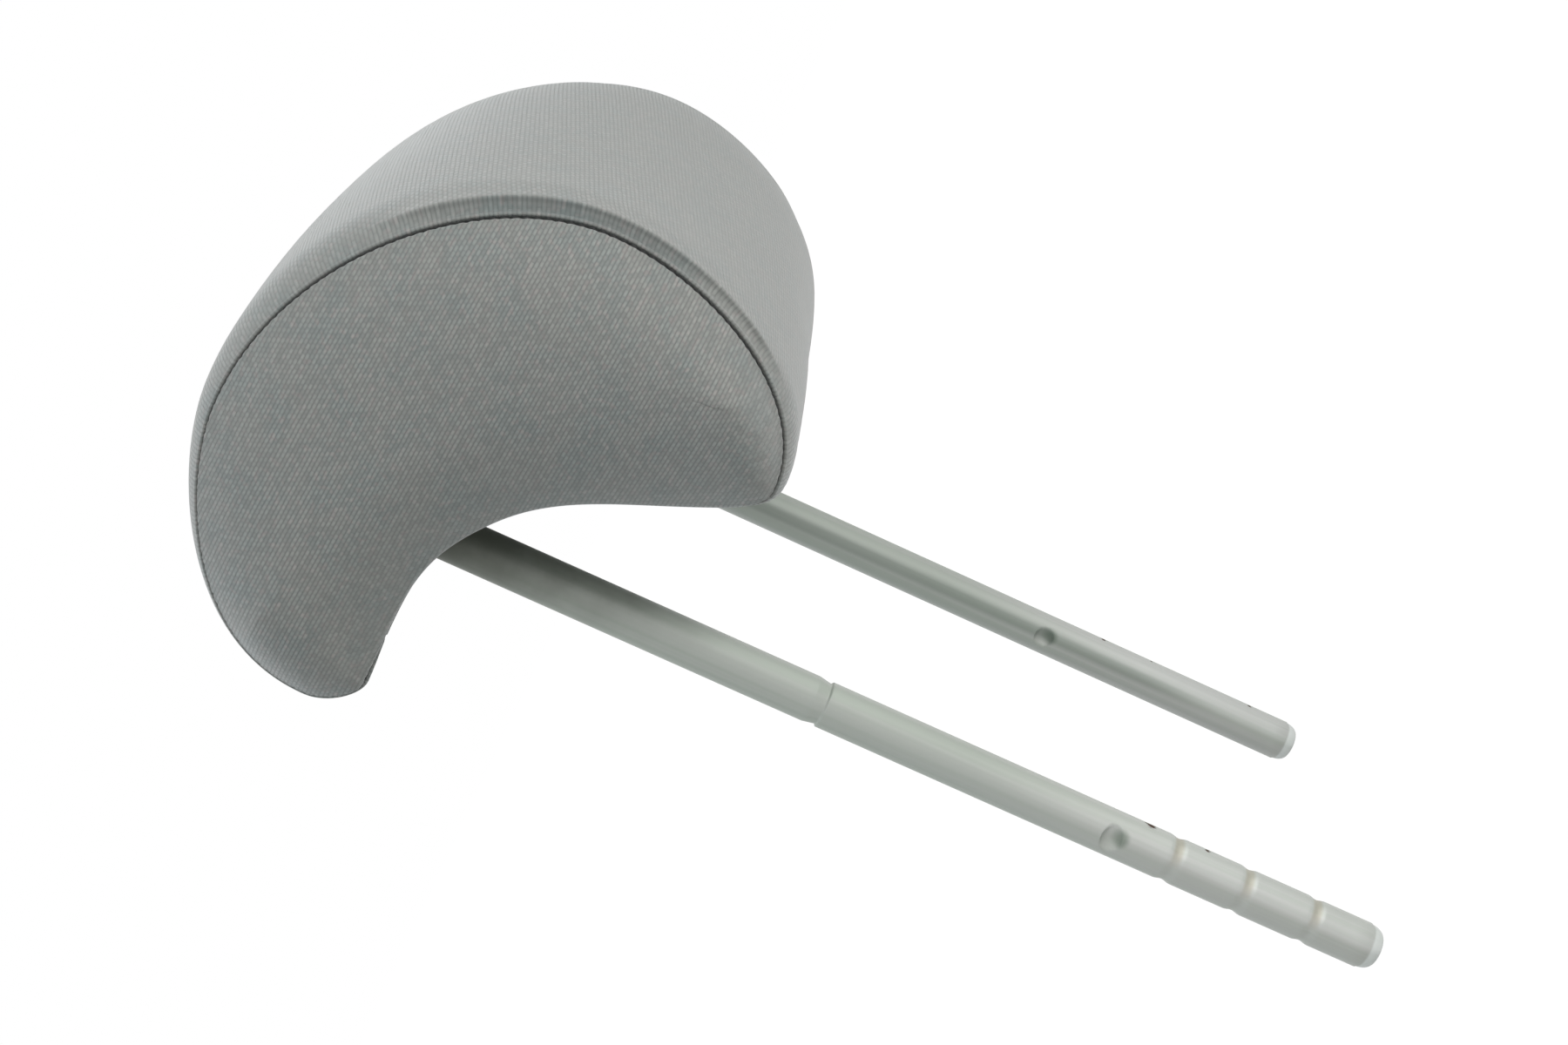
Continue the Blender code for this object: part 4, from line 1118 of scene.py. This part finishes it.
def seen_directly(tree):
    """1 for rays that show the background: from the camera, off gloss and through glass."""
    path = node(tree, "LightPath")
    direct = math_node(tree, "MAXIMUM", path.outputs["Is Camera Ray"], path.outputs["Is Glossy Ray"])
    return math_node(tree, "MAXIMUM", direct, path.outputs["Is Transmission Ray"], clamp=True)


def make_world():
    """Soft studio light that shows as white: a base level, to which each glow adds its colour over
    the directions on its side."""
    world = bpy.data.worlds.new("studio")
    world.use_nodes = True
    bpy.context.scene.world = world
    tree = world.node_tree
    tree.nodes.clear()
    ray = node(tree, "TexCoord").outputs["Generated"]
    color = (*STUDIO_BASE, 1)
    for direction, low, high, glow in STUDIO_GLOWS:
        toward = node(tree, "VectorMath", {0: ray, 1: direction}, operation="DOT_PRODUCT")
        share = ramp(tree, toward.outputs["Value"], low, high)
        color = mix_color(tree, share, color, (*glow, 1), "ADD")
    light = node(tree, "Background", {"Color": color})
    seen = node(tree, "Background", {"Color": (1, 1, 1, 1)})
    mix = node(tree, "MixShader", {0: seen_directly(tree), 1: light.outputs[0], 2: seen.outputs[0]})
    node(tree, "OutputWorld", {"Surface": mix.outputs["Shader"]})


def make_floor():
    signs = ((-1, -1), (1, -1), (1, 1), (-1, 1))
    corners = [(x * FLOOR_REACH, y * FLOOR_REACH, FLOOR_Z) for x, y in signs]
    floor = new_mesh("studio_floor", corners, [(0, 1, 2, 3)], smooth=False)
    material, tree, shader = new_material("studio_floor")
    fill(tree, shader, {"Base Color": FLOOR_COLOR, "Roughness": FLOOR_ROUGHNESS})
    glow = node(tree, "Emission", {"Strength": FLOOR_GLOW})
    share = times(tree, seen_directly(tree), FLOOR_GLOW_SHARE)
    mix = node(tree, "MixShader", {0: share, 1: shader.outputs["BSDF"], 2: glow.outputs[0]})
    fill(tree, tree.nodes["Material Output"], {"Surface": mix.outputs["Shader"]})
    floor.data.materials.append(material)


def make_lights():
    """Rectangular lamps that point at the pad."""
    for name, place, size, power, color in LAMPS:
        data = bpy.data.lights.new(name, "AREA")
        data.shape = "RECTANGLE"
        data.size, data.size_y = size
        data.energy = power
        data.color = color
        away = Vector(place) - Vector(LAMP_TARGET)
        turn = away.to_track_quat("Z", "Y").to_matrix().to_4x4()
        add_object(name, data).matrix_world = Matrix.Translation(place) @ turn


def make_pad(thread):
    """The four panels of the cover, filled and given their cloths, and the side seams' threads."""
    weave, melange = weave_group(), melange_group()
    band_cloth = cloth_material(BAND_CLOTH, weave, melange)
    side_cloth = cloth_material(SIDE_CLOTH, weave, melange)
    closure, lobe_back = LOOP.place["closure"], LOOP.place["lobe_back"]
    form = swollen_form()
    band = cover_strip("fabric_band", lobe_back - LOOP.total, closure, BAND_PITCH, form)
    under = cover_strip("fabric_under", closure, lobe_back, UNDER_PITCH, form)
    left = side_panel("fabric_side_left", -1, form)
    right = side_panel("fabric_side_right", 1, form)
    for panel, cloth, slot, node_name in ((band, band_cloth, "band_fabric", "cover_band"),
                                          (under, side_cloth, "side_fabric", "cover_under"),
                                          (left, side_cloth, "side_fabric", "cover_side_left"),
                                          (right, side_cloth, "side_fabric", "cover_side_right")):
        thicken(panel)
        panel.data.materials.append(cloth)
        finish_piece(panel, node_name)
    for side, label in ((-1, "left"), (1, "right")):
        piece = seam_thread("sewn_thread_" + label, side)
        piece.data.materials.append(thread)
        finish_piece(piece, "thread_side_" + label)


def dress_nodes(finishes):
    """Gives the CAD nodes that stay in view their procedural materials."""
    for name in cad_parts:
        finish = next((finish for start, finish in NODE_FINISHES if name.startswith(start)), None)
        if finish:
            for place in bpy.data.objects[name].material_slots:
                place.material = finishes[finish]


def main():
    make_camera()
    make_world()
    make_floor()
    make_lights()
    finishes = {name: plain_material(name, **look) for name, look in PLAIN_FINISHES.items()}
    make_pad(finishes["seam_thread"])
    posts = make_posts()
    posts.data.materials.append(steel_material())
    finish_piece(posts, "post_frame")
    dress_nodes(finishes)
    bpy.context.scene.view_settings.view_transform = "Standard"


main()
